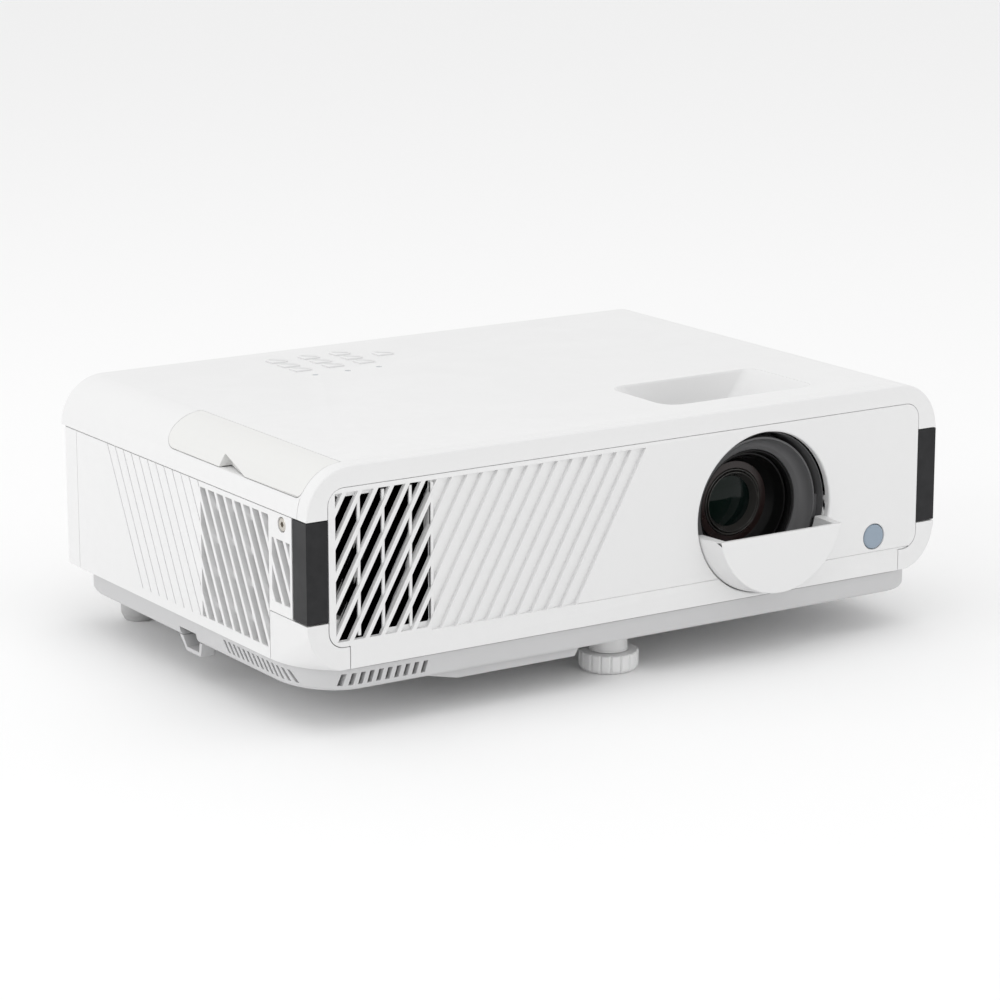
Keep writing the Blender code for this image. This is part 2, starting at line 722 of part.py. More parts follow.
def make_lamp_door(materials):
    def build(bm):
        centre = (-HALF + SHOULDER, HEIGHT - SHOULDER)
        start, end = door_angles()
        inner = SHOULDER - WALL
        outline = arc(centre, (SHOULDER, SHOULDER), start, end, 6)
        outline += arc(centre, (inner, inner), end, start, 6)
        add_prism(bm, outline, "y", BEZEL_BACK + GAP, DOOR_REAR)

    piece("lamp_door", materials["shell_white"], build, origin=(DOOR_INNER, 0.0, HEIGHT), smooth=True)

    def screw(bm):
        add_turned(bm, [(0, -HALF + 0.0004), (0.0028, -HALF + 0.0004), (0.0028, -HALF + 0.0022),
                        (0.0014, -HALF + 0.0022), (0.0014, -HALF + 0.0070), (0, -HALF + 0.0070)],
                   "x", LAMP_SCREW, 16)

    driver = piece("lamp_door_screw", materials["steel"], screw, origin=(-HALF, *LAMP_SCREW), smooth=True)

    def cross_slot(bm):
        y, z = LAMP_SCREW
        for a, b in ((0.0003, 0.0018), (0.0018, 0.0003)):
            add_box(bm, (-HALF - 0.001, y - a, z - b), (-HALF + 0.0014, y + a, z + b))

    boolean(driver, cross_slot, crossing=True)


def make_feet(materials):
    stem_low = KNOB_HEIGHT + GAP
    piece("front_foot_stem", materials["shell_white"], lambda bm: add_turned(
        bm, rod_profile(STEM_RADIUS, stem_low, 0.0400), "z", FOOT.xy, 24), origin=FOOT, smooth=True)

    def knob(bm):
        teeth, depth = 18, 0.0007
        outline = []
        for i in range(teeth * 2):
            angle = math.pi * i / teeth
            radius = KNOB_RADIUS - depth * (i % 2)
            outline.append((FOOT.x + radius * math.cos(angle), FOOT.y + radius * math.sin(angle)))
        add_loft(bm, [(x, y, 0.0014) for x, y in outline], [(x, y, KNOB_HEIGHT) for x, y in outline])
        cap = [face for face in bm.faces if face.normal.z < -0.9]
        bmesh.ops.inset_region(bm, faces=cap, thickness=0.0010, depth=0.0014, use_even_offset=True)

    piece("front_foot_knob", materials["shell_white"], knob, origin=FOOT)
    pad = [(0, 0.0), (0.0062, 0.0), (0.0078, 0.0020), (0.0082, 0.0169), (0, 0.0169)]
    for name, side in (("rear_foot_left", -1), ("rear_foot_right", 1)):
        centre = (side * REAR_FEET[0], REAR_FEET[1])
        piece(name, materials["foot_rubber"], lambda bm, c=centre: add_turned(bm, pad, "z", c, 20), smooth=True)


def inlet_flange(bm):
    low_x, high_x, low_z, high_z = INLET_OPENING
    add_box(bm, (low_x + GAP, REAR - 0.0026, low_z + GAP), (high_x - GAP, REAR - 0.0004, high_z - GAP))


def make_fittings(materials):
    bar = piece("security_bar", materials["base_grey"],
                lambda bm: add_box(bm, (-0.1525, -0.0080, 0.0112), (-0.1465, 0.0130, 0.0169)))
    boolean(bar, lambda bm: add_box(bm, (-0.16, -0.0052, 0.0138), (-0.14, 0.0102, 0.02)))
    face = [(0, FRONT - 0.0002), (0.0046, FRONT - 0.0002), (0.0053, FRONT + 0.0004), (0.0053, FRONT + 0.0030)]
    face.append((0, FRONT + 0.0030))
    piece("ir_window", materials["window_blue"], lambda bm: add_turned(bm, face, "y", IR_WINDOW, 20), smooth=True)

    for name, x, z, width, height, depth in SOCKETS:
        low = Vector((x - width / 2, REAR - depth, z - height / 2))
        high = Vector((x + width / 2, REAR, z + height / 2))
        obj = piece(name, materials["lens_black" if name == "ac_inlet" else "steel"],
                    lambda bm, low=low, high=high: add_box(bm, low, high))
        if name == "ac_inlet":
            boolean(obj, inlet_flange, "UNION")
        inner_low = low + Vector((SOCKET_RIM, 0.002, SOCKET_RIM))
        inner_high = high + Vector((-SOCKET_RIM, 0.01, -SOCKET_RIM))
        boolean(obj, lambda bm, low=inner_low, high=inner_high: add_box(bm, low, high))

    sleeve = [(0, REAR - 0.012), (JACK_RADIUS, REAR - 0.012), (JACK_RADIUS, REAR), (0.0018, REAR)]
    sleeve += [(0.0018, REAR - 0.010), (0, REAR - 0.010)]
    for name, x in JACKS:
        piece(name, materials["lens_black"], lambda bm, x=x: add_turned(bm, sleeve, "y", (x, JACK_Z), 16), smooth=True)


def main():
    clear_scene()
    materials = make_materials()
    make_base(materials)
    make_top_cover(materials)
    make_front_bezel(materials)
    make_corner_inserts(materials)
    make_front_panel(materials)
    make_side_panels(materials)
    make_rear_panel(materials)
    make_ring_well(materials)
    make_lens(materials)
    make_optics(materials)
    make_boards(materials)
    make_fan(materials, "exhaust_fan", "y", (-0.1170, 0.0610), (-0.0800, -0.0620), 0.0290)
    make_fan(materials, "intake_fan", "x", (-0.0400, 0.0570), (0.1330, 0.1480), 0.0270)
    make_keys(materials)
    make_lamp_door(materials)
    make_feet(materials)
    make_fittings(materials)


main()
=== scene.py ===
"""Home projector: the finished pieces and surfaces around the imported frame.

Metres, in the frame's own axes: front towards -Y, +Z up, the origin on the table under the case.
"""

import math

import bmesh
import bpy
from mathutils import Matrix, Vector


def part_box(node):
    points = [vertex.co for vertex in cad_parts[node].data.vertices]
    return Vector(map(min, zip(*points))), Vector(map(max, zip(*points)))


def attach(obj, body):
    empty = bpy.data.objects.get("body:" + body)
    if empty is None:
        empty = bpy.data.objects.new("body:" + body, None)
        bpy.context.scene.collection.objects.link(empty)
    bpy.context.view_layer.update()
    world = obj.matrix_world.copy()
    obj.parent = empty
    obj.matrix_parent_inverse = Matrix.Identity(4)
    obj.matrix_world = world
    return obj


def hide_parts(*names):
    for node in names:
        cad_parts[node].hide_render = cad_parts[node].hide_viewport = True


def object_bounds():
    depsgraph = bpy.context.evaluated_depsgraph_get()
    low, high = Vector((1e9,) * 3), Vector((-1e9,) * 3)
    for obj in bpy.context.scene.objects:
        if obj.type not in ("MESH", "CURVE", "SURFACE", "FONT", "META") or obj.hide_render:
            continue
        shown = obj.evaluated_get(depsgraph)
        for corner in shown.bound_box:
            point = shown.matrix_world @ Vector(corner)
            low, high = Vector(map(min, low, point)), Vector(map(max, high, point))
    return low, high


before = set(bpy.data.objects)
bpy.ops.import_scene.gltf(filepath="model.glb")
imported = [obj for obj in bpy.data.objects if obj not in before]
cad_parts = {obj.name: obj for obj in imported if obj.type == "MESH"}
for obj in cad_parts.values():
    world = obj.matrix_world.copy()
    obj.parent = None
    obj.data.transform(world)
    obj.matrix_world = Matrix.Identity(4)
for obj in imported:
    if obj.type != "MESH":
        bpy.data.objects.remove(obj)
cad_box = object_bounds()

# Sizes that the frame gives
GAP = 0.0003
HALF = cad_box[1].x
REAR = cad_box[1].y
LIP_FRONT = cad_box[0].y
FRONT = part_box("front_panel")[0].y
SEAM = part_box("side_panel_left")[0].z - GAP
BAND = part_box("top_cover")[0].z
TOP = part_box("top_cover")[1].z
BEZEL_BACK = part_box("top_cover")[0].y - GAP
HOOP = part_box("side_panel_left")[1].y + GAP
INSERT_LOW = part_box("corner_insert_left")[0].z
DOOR_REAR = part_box("lamp_door")[1].y
DOOR_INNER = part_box("lamp_door")[1].x
PANEL_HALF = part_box("front_panel")[1].x
PANEL_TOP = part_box("front_panel")[1].z
RING_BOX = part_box("focus_ring")
LENS_X = (RING_BOX[0].x + RING_BOX[1].x) / 2
LENS_Z = (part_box("lens_barrel")[0].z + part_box("lens_barrel")[1].z) / 2
LIP_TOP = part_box("lens_lip")[1].z
WINDOW = (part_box("ir_window")[0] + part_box("ir_window")[1]) / 2
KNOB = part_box("front_foot_knob")
FOOT = (KNOB[0] + KNOB[1]) / 2

# Sizes of the moulded detail
SHOULDER = 0.020
WALL = 0.0022
LENS_HOLE = 0.0342
STRIP_HALF = 0.1366  # half width of the front panel's lowest strip
STRIP_TOP = 0.0360
DOOR_LOW = 0.0957
FRONT_PITCH = 0.00715
FRONT_LEAN = 0.56
SIDE_PITCH = 0.007245
SIDE_LEAN = 0.525
SLAT = 0.0021
RELIEF = 0.0018  # how deep a slanted step goes
VENT_DEPTH = 0.0034
TOP_JOINT = 0.00006  # the fine joint between bezel and top cover
PANEL_JOINT = 0.00025
KEY_SLIT = 0.00012
INLET_OPENING = (-0.1430, -0.0930, 0.0352, 0.0608)  # low X, high X, low Z, high Z
PLATE_OPENING = (0.0060, 0.1200, 0.0310, 0.0520)
CUT_PROUD = 0.0020  # how far a cutter stands out of the face it cuts


# ---------------------------------------------------------------- modelling


def named(name):
    piece = bpy.context.object
    piece.name = name
    piece.data.name = name
    return piece


def edit(piece):
    bpy.ops.object.select_all(action="DESELECT")
    bpy.context.view_layer.objects.active = piece
    piece.select_set(True)
    bpy.ops.object.mode_set(mode="EDIT")
    bpy.ops.mesh.select_mode(type="VERT")
    bpy.ops.mesh.select_all(action="DESELECT")


def leave():
    bpy.ops.object.mode_set(mode="OBJECT")


def pick(piece, kind, test):
    """Selects the corners, edges or faces whose middle passes the test."""
    bpy.ops.mesh.select_mode(type=kind)
    bpy.ops.mesh.select_all(action="DESELECT")
    mesh = bmesh.from_edit_mesh(piece.data)
    if kind == "VERT":
        for corner in mesh.verts:
            corner.select_set(test(corner.co, corner.normal))
    elif kind == "EDGE":
        for edge in mesh.edges:
            first, second = (corner.co for corner in edge.verts)
            edge.select_set(test((first + second) / 2, (second - first).normalized()))
    else:
        for face in mesh.faces:
            face.select_set(test(face.calc_center_median(), face.normal))
    mesh.select_flush_mode()
    bmesh.update_edit_mesh(piece.data)


def face_out():
    bpy.ops.mesh.select_all(action="SELECT")
    bpy.ops.mesh.normals_make_consistent(inside=False)


def block(name, low, high):
    """A cube added at its size and place."""
    low, high = Vector(map(min, low, high)), Vector(map(max, low, high))
    bpy.ops.object.select_all(action="DESELECT")
    bpy.ops.mesh.primitive_cube_add(size=1, location=(low + high) / 2, scale=high - low)
    bpy.ops.object.transform_apply(location=True, rotation=True, scale=True)
    return named(name)


def placed(axis, first, second, height):
    """A point from two outline values and the height along the axis."""
    if axis == "x":
        return Vector((height, first, second))
    if axis == "y":
        return Vector((first, height, second))
    return Vector((first, second, height))


def laid_out(name, points, fill="NGON"):
    """A circle's corners moved to the points of an outline, ready to extrude or spin."""
    bpy.ops.object.select_all(action="DESELECT")
    bpy.ops.mesh.primitive_circle_add(vertices=len(points), fill_type=fill, location=(0, 0, 0))
    piece = named(name)
    for corner, point in zip(piece.data.vertices, points):
        corner.co = point
    edit(piece)
    bpy.ops.mesh.select_all(action="SELECT")
    return piece


def prism(name, outline, axis, low, high):
    piece = laid_out(name, [placed(axis, a, b, low) for a, b in outline])
    bpy.ops.mesh.extrude_region_move(TRANSFORM_OT_translate={"value": placed(axis, 0, 0, high - low)})
    face_out()
    leave()
    return piece


def loft(name, sections):
    """Sections with as many points each: the first is laid out, and each next one extruded and placed."""
    piece = laid_out(name, sections[0])
    for before, after in zip(sections, sections[1:]):
        bpy.ops.mesh.extrude_region_move()
        mesh = bmesh.from_edit_mesh(piece.data)
        for corner in [v for v in mesh.verts if v.select]:
            nearest = min(range(len(before)), key=lambda i: (corner.co - before[i]).length_squared)
            corner.co = after[nearest]
        bmesh.update_edit_mesh(piece.data)
    face_out()
    leave()
    return piece


def turned(name, outline, axis, centre, steps=64):
    """A closed outline of (radius, height) spun about an axis through the centre."""
    pivot = placed(axis, centre[0], centre[1], 0)
    piece = laid_out(name, [placed(axis, centre[0] + r, centre[1], h) for r, h in outline], "NOTHING")
    bpy.ops.mesh.spin(steps=steps, angle=2 * math.pi, center=pivot, axis=placed(axis, 0, 0, 1))
    bpy.ops.mesh.select_all(action="SELECT")
    bpy.ops.mesh.remove_doubles(threshold=1e-6)
    bpy.ops.mesh.delete_loose()
    face_out()
    leave()
    return piece


def drill(name, axis, centre, radius, low, high, sides=48):
    """A round cutter."""
    outline = [(centre[0] + radius * math.cos(2 * math.pi * i / sides),
                centre[1] + radius * math.sin(2 * math.pi * i / sides)) for i in range(sides)]
    return prism(name, outline, axis, low, high)


def arc(centre, radius, start, end, steps):
    points = []
    for i in range(steps + 1):
        angle = math.radians(start + (end - start) * i / steps)
        points.append((centre[0] + radius * math.cos(angle), centre[1] + radius * math.sin(angle)))
    return points


def filleted(points, radii, steps=5):
    """A closed outline with its corners rounded; radii is one radius or one for each corner."""
    count = len(points)
    if not isinstance(radii, (list, tuple)):
        radii = [radii] * count
    result = []
    for i, radius in enumerate(radii):
        here = Vector(points[i])
        if radius == 0:
            result.append(tuple(here))
            continue
        back = (Vector(points[i - 1]) - here).normalized()
        ahead = (Vector(points[(i + 1) % count]) - here).normalized()
        half = back.angle(ahead) / 2
        start = here + back * radius / math.tan(half)
        centre = here + (back + ahead).normalized() * radius / math.sin(half)
        spoke = start - centre
        turn = math.pi - 2 * half
        if back.x * ahead.y - back.y * ahead.x > 0:
            turn = -turn
        for k in range(steps + 1):
            angle = turn * k / steps
            x = spoke.x * math.cos(angle) - spoke.y * math.sin(angle)
            y = spoke.x * math.sin(angle) + spoke.y * math.cos(angle)
            result.append((centre.x + x, centre.y + y))
    return result


def rectangle(low_a, low_b, high_a, high_b):
    return [(low_a, low_b), (high_a, low_b), (high_a, high_b), (low_a, high_b)]


def apply_modifier(piece, modifier):
    bpy.ops.object.select_all(action="DESELECT")
    bpy.context.view_layer.objects.active = piece
    piece.select_set(True)
    bpy.ops.object.modifier_apply(modifier=modifier.name)


def combine(piece, tool, operation="DIFFERENCE", crossing=False):
    modifier = piece.modifiers.new("Boolean", "BOOLEAN")
    modifier.operation = operation
    modifier.solver = "EXACT"
    modifier.use_self = crossing
    modifier.object = tool
    apply_modifier(piece, modifier)
    bpy.data.objects.remove(tool)


def cut(piece, *tools):
    for tool in tools:
        combine(piece, tool)


def weld(piece, *others):
    for other in others:
        combine(piece, other, "UNION")


def gathered(name, pieces):
    """Separate bodies kept as one object."""
    bpy.ops.object.select_all(action="DESELECT")
    for piece in pieces:
        piece.select_set(True)
    bpy.context.view_layer.objects.active = pieces[0]
    bpy.ops.object.join()
    return named(name)


def copied(piece, name, offset=(0, 0, 0)):
    """A copy with its own mesh, moved by the offset."""
    twin = piece.copy()
    twin.data = piece.data.copy()
    twin.name = name
    twin.data.name = name
    bpy.context.scene.collection.objects.link(twin)
    edit(twin)
    bpy.ops.mesh.select_all(action="SELECT")
    bpy.ops.transform.translate(value=offset)
    leave()
    return twin


def mirrored(piece, name):
    """A copy on the other side of the case."""
    twin = copied(piece, name)
    edit(twin)
    bpy.ops.mesh.select_all(action="SELECT")
    bpy.ops.transform.resize(value=(-1, 1, 1), center_override=(0, 0, 0))
    face_out()
    leave()
    return twin


def repeated(piece, count, offset):
    modifier = piece.modifiers.new("Array", "ARRAY")
    modifier.count = count
    modifier.use_relative_offset = False
    modifier.use_constant_offset = True
    modifier.constant_offset_displace = offset
    modifier.use_merge_vertices = False
    apply_modifier(piece, modifier)


def trimmed(piece, axis, low, high):
    """Cuts off what lies outside two planes across an axis, and closes the cuts."""
    normal = Vector((0, 0, 0))
    for limit, sign in ((low, -1), (high, 1)):
        normal[axis] = sign
        point = Vector((0, 0, 0))
        point[axis] = limit
        edit(piece)
        bpy.ops.mesh.select_all(action="SELECT")
        bpy.ops.mesh.bisect(plane_co=point, plane_no=normal, use_fill=True, clear_outer=True, threshold=1e-7)
        leave()


def soften(piece, width, segments=2, only=None, sharp=30):
    """Rounds the sharp edges, or those of them that pass a test of their middle."""
    edit(piece)
    bpy.ops.mesh.select_all(action="SELECT")
    bpy.ops.mesh.remove_doubles(threshold=2e-6)
    bpy.ops.mesh.dissolve_limited(angle_limit=math.radians(0.2))
    bpy.ops.mesh.select_mode(type="EDGE")
    bpy.ops.mesh.select_all(action="DESELECT")
    mesh = bmesh.from_edit_mesh(piece.data)
    limit = math.radians(sharp)
    for edge in mesh.edges:
        if len(edge.link_faces) == 2 and edge.calc_face_angle() > limit:
            middle = (edge.verts[0].co + edge.verts[1].co) / 2
            edge.select_set(only is None or only(middle))
    bmesh.update_edit_mesh(piece.data)
    bpy.ops.mesh.bevel(offset=width, segments=segments, affect="EDGES", clamp_overlap=False)
    leave()


def shaded(piece, angle=35):
    bpy.ops.object.select_all(action="DESELECT")
    bpy.context.view_layer.objects.active = piece
    piece.select_set(True)
    bpy.ops.object.shade_smooth_by_angle(angle=math.radians(angle))
    modifier = piece.modifiers.new("Weighted", "WEIGHTED_NORMAL")
    modifier.keep_sharp = True
    apply_modifier(piece, modifier)


def finished(piece, body, slot, *nodes):
    """Shades a piece, gives it its slot's surface, and says what it rides on and stands for."""
    shaded(piece)
    piece.data.materials.clear()
    piece.data.materials.append(SURFACES[slot])
    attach(piece, body)
    if nodes:
        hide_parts(*nodes)
    return piece


# ---------------------------------------------------------------- surfaces


def new_group(name, inputs, outputs):
    group = bpy.data.node_groups.new(name, "ShaderNodeTree")
    for label, value in inputs.items():
        socket = group.interface.new_socket(label, in_out="INPUT", socket_type="NodeSocketFloat")
        socket.default_value = value
    for label in outputs:
        group.interface.new_socket(label, in_out="OUTPUT", socket_type="NodeSocketFloat")
    return group, group.nodes.new("NodeGroupInput"), group.nodes.new("NodeGroupOutput")


def noise(tree, scale=None, detail=2.0):
    node = tree.nodes.new("ShaderNodeTexNoise")
    node.inputs["Detail"].default_value = detail
    if scale is not None:
        node.inputs["Scale"].default_value = scale
    return node


def sum_of(tree, operation, first, second):
    """A maths node; each side is a socket or a number."""
    node = tree.nodes.new("ShaderNodeMath")
    node.operation = operation
    for socket, value in zip(node.inputs, (first, second)):
        if isinstance(value, (int, float)):
            socket.default_value = value
        else:
            tree.links.new(value, socket)
    return node.outputs["Value"]


def ranged(tree, value, from_low, from_high, to_low, to_high):
    node = tree.nodes.new("ShaderNodeMapRange")
    tree.links.new(value, node.inputs["Value"])
    for label, number in zip(("From Min", "From Max", "To Min", "To Max"), (from_low, from_high, to_low, to_high)):
        node.inputs[label].default_value = number
    return node.outputs["Result"]


def make_grain():
    """The fine spark-eroded grain of a moulding tool, and the slow mottling of the plastic."""
    group, ins, outs = new_group("moulded_grain", {"Scale": 2200.0}, ("Height", "Mottle"))
    place = group.nodes.new("ShaderNodeTexCoord").outputs["Object"]
    pits = group.nodes.new("ShaderNodeTexVoronoi")
    pits.feature = "SMOOTH_F1"
    cloud = noise(group, detail=3.0)
    blotch = noise(group, 14.0, 4.0)
    for node in (pits, cloud, blotch):
        group.links.new(place, node.inputs["Vector"])
    for node in (pits, cloud):
        group.links.new(ins.outputs["Scale"], node.inputs["Scale"])
    height = sum_of(group, "ADD", cloud.outputs["Fac"], sum_of(group, "MULTIPLY", pits.outputs["Distance"], 0.6))
    group.links.new(height, outs.inputs["Height"])
    group.links.new(blotch.outputs["Fac"], outs.inputs["Mottle"])
    return group


def make_painted_edge_highlight():
    """A painted edge highlight: lighter colour along sharp convex edges, broken up by noise."""
    group, ins, outs = new_group("painted_edge_highlight", {"Start": 0.52, "End": 0.60}, ("Mask",))
    point = group.nodes.new("ShaderNodeNewGeometry").outputs["Pointiness"]
    place = group.nodes.new("ShaderNodeTexCoord").outputs["Object"]
    breakup = noise(group, 220.0, 4.0)
    group.links.new(place, breakup.inputs["Vector"])
    spread = group.nodes.new("ShaderNodeMapRange")
    group.links.new(point, spread.inputs["Value"])
    group.links.new(ins.outputs["Start"], spread.inputs["From Min"])
    group.links.new(ins.outputs["End"], spread.inputs["From Max"])
    group.links.new(sum_of(group, "MULTIPLY", spread.outputs["Result"], breakup.outputs["Fac"]), outs.inputs["Mask"])
    return group


def make_dust():
    """A thin veil of dust on what faces up."""
    group, ins, outs = new_group("settled_dust", {"Amount": 0.1}, ("Mask",))
    normal = group.nodes.new("ShaderNodeNewGeometry").outputs["Normal"]
    split = group.nodes.new("ShaderNodeSeparateXYZ")
    group.links.new(normal, split.inputs["Vector"])
    place = group.nodes.new("ShaderNodeTexCoord").outputs["Object"]
    drift = noise(group, 60.0, 6.0)
    group.links.new(place, drift.inputs["Vector"])
    up = ranged(group, split.outputs["Z"], 0.6, 1.0, 0.0, 1.0)
    veil = sum_of(group, "MULTIPLY", up, ranged(group, drift.outputs["Fac"], 0.45, 0.75, 0.0, 1.0))
    group.links.new(sum_of(group, "MULTIPLY", veil, ins.outputs["Amount"]), outs.inputs["Mask"])
    return group


def make_touch():
    """Faint smears left by hands, which change only the gloss."""
    group, ins, outs = new_group("hand_smears", {"Scale": 34.0}, ("Mask",))
    place = group.nodes.new("ShaderNodeTexCoord").outputs["Object"]
    smear = noise(group, detail=5.0)
    smear.inputs["Distortion"].default_value = 0.8
    group.links.new(place, smear.inputs["Vector"])
    group.links.new(ins.outputs["Scale"], smear.inputs["Scale"])
    group.links.new(ranged(group, smear.outputs["Fac"], 0.38, 0.68, 0.0, 1.0), outs.inputs["Mask"])
    return group


GRAIN, PAINTED_EDGE_HIGHLIGHT, DUST, TOUCH = make_grain(), make_painted_edge_highlight(), make_dust(), make_touch()


def placed_group(tree, group, **values):
    node = tree.nodes.new("ShaderNodeGroup")
    node.node_tree = group
    for label, value in values.items():
        node.inputs[label].default_value = value
    return node


def mixed(tree, factor, first, second):
    """One colour over another; each is a socket or a colour."""
    node = tree.nodes.new("ShaderNodeMix")
    node.data_type = "RGBA"
    tree.links.new(factor, node.inputs["Factor"])
    for socket, value in ((node.inputs[6], first), (node.inputs[7], second)):
        if isinstance(value, tuple):
            socket.default_value = (*value, 1.0)
        else:
            tree.links.new(value, socket)
    return node.outputs[2]


def surface(name, colour, roughness, grain=2200.0, relief=0.012, mottle=0.03, edge_highlight=0.3, dust=0.08,
            metallic=0.0, specular=0.5, coat=0.0, spread=0.06):
    """A moulded or machined surface with grain, mottling, a painted highlight on sharp edges, dust and smears."""
    material = bpy.data.materials.new(name)
    material.use_nodes = True
    tree = material.node_tree
    shader = tree.nodes["Principled BSDF"]
    skin = placed_group(tree, GRAIN, Scale=grain)
    edges = placed_group(tree, PAINTED_EDGE_HIGHLIGHT)
    veil = placed_group(tree, DUST, Amount=dust)
    smears = placed_group(tree, TOUCH)
    shade = tuple(c * (1 - mottle) for c in colour)
    # Sharp convex edges are mixed towards this lighter colour by the edge mask: a painted edge highlight.
    bright = tuple(min(1.0, c * (1 + edge_highlight) + 0.01) for c in colour)
    body = mixed(tree, skin.outputs["Mottle"], shade, colour)
    body = mixed(tree, edges.outputs["Mask"], body, bright)
    body = mixed(tree, veil.outputs["Mask"], body, (0.62, 0.60, 0.57))
    tree.links.new(body, shader.inputs["Base Color"])
    gloss = ranged(tree, smears.outputs["Mask"], 0.0, 1.0, max(0.02, roughness - spread), roughness + spread)
    tree.links.new(gloss, shader.inputs["Roughness"])
    bump = tree.nodes.new("ShaderNodeBump")
    bump.inputs["Strength"].default_value = 0.35
    bump.inputs["Distance"].default_value = relief / 1000
    tree.links.new(skin.outputs["Height"], bump.inputs["Height"])
    tree.links.new(bump.outputs["Normal"], shader.inputs["Normal"])
    shader.inputs["Metallic"].default_value = metallic
    shader.inputs["Specular IOR Level"].default_value = specular
    shader.inputs["Coat Weight"].default_value = coat
    return material


def make_glass():
    """The coated front element: near black, with a painted reflection of its coating, green at its middle and violet
    towards its rim.
    """
    material = surface("lens_glass", (0.004, 0.006, 0.006), 0.06, 900.0, 0.0, 0.2, 0.0, 0.01, spread=0.01,
                       specular=0.12)
    tree = material.node_tree
    shader = tree.nodes["Principled BSDF"]
    facing = tree.nodes.new("ShaderNodeLayerWeight")
    facing.inputs["Blend"].default_value = 0.35
    # Green where the glass faces the camera and violet towards grazing angles: the coating's reflection painted into
    # the base colour.
    painted_reflection_tint = mixed(tree, facing.outputs["Facing"], (0.002, 0.010, 0.006), (0.010, 0.004, 0.012))
    tree.links.new(painted_reflection_tint, shader.inputs["Base Color"])
    shader.inputs["Coat Weight"].default_value = 0.15
    shader.inputs["Coat Roughness"].default_value = 0.04
    return material


def make_board_green():
    """Solder mask with the lighter lines of its copper tracks."""
    material = surface("board_green", (0.012, 0.10, 0.035), 0.4, 900.0, 0.02, 0.25, 0.2, 0.05)
    tree = material.node_tree
    shader = tree.nodes["Principled BSDF"]
    under = shader.inputs["Base Color"].links[0].from_socket
    tracks = tree.nodes.new("ShaderNodeTexBrick")
    tracks.inputs["Scale"].default_value = 190.0
    tracks.inputs["Mortar Size"].default_value = 0.03
    place = tree.nodes.new("ShaderNodeTexCoord")
    tree.links.new(place.outputs["Object"], tracks.inputs["Vector"])
    tree.links.new(mixed(tree, tracks.outputs["Fac"], under, (0.05, 0.22, 0.08)), shader.inputs["Base Color"])
    return material


# Each surface lightens its sharp convex edges by its own amount: a painted edge highlight.
SURFACES = {
    "shell_white": surface("shell_white", (0.80, 0.80, 0.80), 0.42, edge_highlight=0.04, dust=0.02, mottle=0.012),
    "shell_white.side": surface("shell_white_side", (0.80, 0.80, 0.80), 0.5, edge_highlight=0.04, dust=0.02, mottle=0.012),
    "shell_white.front": surface("shell_white_front", (0.80, 0.80, 0.80), 0.45, edge_highlight=0.04, dust=0.02, mottle=0.012),
    "shell_white.door": surface("shell_white_door", (0.77, 0.77, 0.757), 0.42, edge_highlight=0.04, dust=0.02, mottle=0.012),
    "base_grey": surface("base_grey", (0.58, 0.58, 0.585), 0.5, 1900.0, 0.02, edge_highlight=0.06, dust=0.03, mottle=0.02),
    "satin_black": surface("satin_black", (0.008, 0.008, 0.009), 0.35, 2600.0, 0.008, 0.2, 0.8, 0.02, specular=0.25),
    "lens_black": surface("lens_black", (0.006, 0.006, 0.006), 0.32, 2600.0, 0.01, 0.2, 0.8, 0.01, specular=0.2),
    # Lighter than lens_black so that the thin retaining rings show as bright lines: a painted highlight on black rings.
    "lens_black.painted_highlight_rim": surface("lens_black_painted_highlight_rim", (0.05, 0.048, 0.045), 0.16, 2600.0, 0.004, 0.2, 1.0, 0.01),
    # A dark red ring colour: a painted reflection of the lens coating.
    "lens_black.painted_reflection": surface("lens_black_painted_reflection", (0.016, 0.005, 0.004), 0.30, 2600.0, 0.004, 0.3, 0.3, 0.0),
    "shroud_grey": surface("shroud_grey", (0.115, 0.115, 0.118), 0.36, 2400.0, 0.008, 0.06, 0.5, 0.02),
    "lens_glass": make_glass(),
    "window_blue": surface("window_blue", (0.27, 0.34, 0.42), 0.16, 1500.0, 0.002, 0.05, 0.1, 0.03, coat=0.6),
    "window_blue.pale": surface("window_blue_pale", (0.50, 0.52, 0.54), 0.3, 1500.0, 0.002, 0.05, 0.1, 0.03),
    "steel": surface("steel", (0.60, 0.57, 0.52), 0.28, 1600.0, 0.01, 0.12, 0.2, 0.02, metallic=1.0),
    "cast_metal": surface("cast_metal", (0.32, 0.32, 0.33), 0.5, 700.0, 0.06, 0.2, 0.3, 0.05, metallic=1.0),
    "board_green": make_board_green(),
    "foot_rubber": surface("foot_rubber", (0.50, 0.50, 0.50), 0.75, 1200.0, 0.03, 0.06, 0.05, 0.1),
}


# ---------------------------------------------------------------- case


def shoulders(inset, low, steps=16):
    """The top and both shoulders in X and Z, set in by a wall's thickness, from low right to low left."""
    right = [(HALF - inset, low)]
    right += arc((HALF - SHOULDER, TOP - SHOULDER), SHOULDER - inset, 0, 90, steps)
    return right + [(-x, z) for x, z in reversed(right)]


def panel_top(grow):
    """The upper part of the front panel's outline, from low right to low left."""
    radius = 0.0068 + grow
    side, top = PANEL_HALF + grow, PANEL_TOP + grow
    right = [(side, BAND)] + arc((side - radius, top - radius), radius, 0, 90, 6)
    return right + [(-x, z) for x, z in reversed(right)]


def door_tool(name, grow):
    """The lamp door's volume, seen from the side a rectangle with its two lower corners rounded."""
    low, high = BEZEL_BACK + GAP - grow, DOOR_REAR + grow
    outline = [(low, DOOR_LOW - grow), (high, DOOR_LOW - grow), (high, TOP + 0.01), (low, TOP + 0.01)]
    outline = filleted(outline, [0.0035 + grow, 0.0085 + grow, 0, 0], 8)
    return prism(name, outline, "x", -HALF - 0.01, DOOR_INNER + grow)


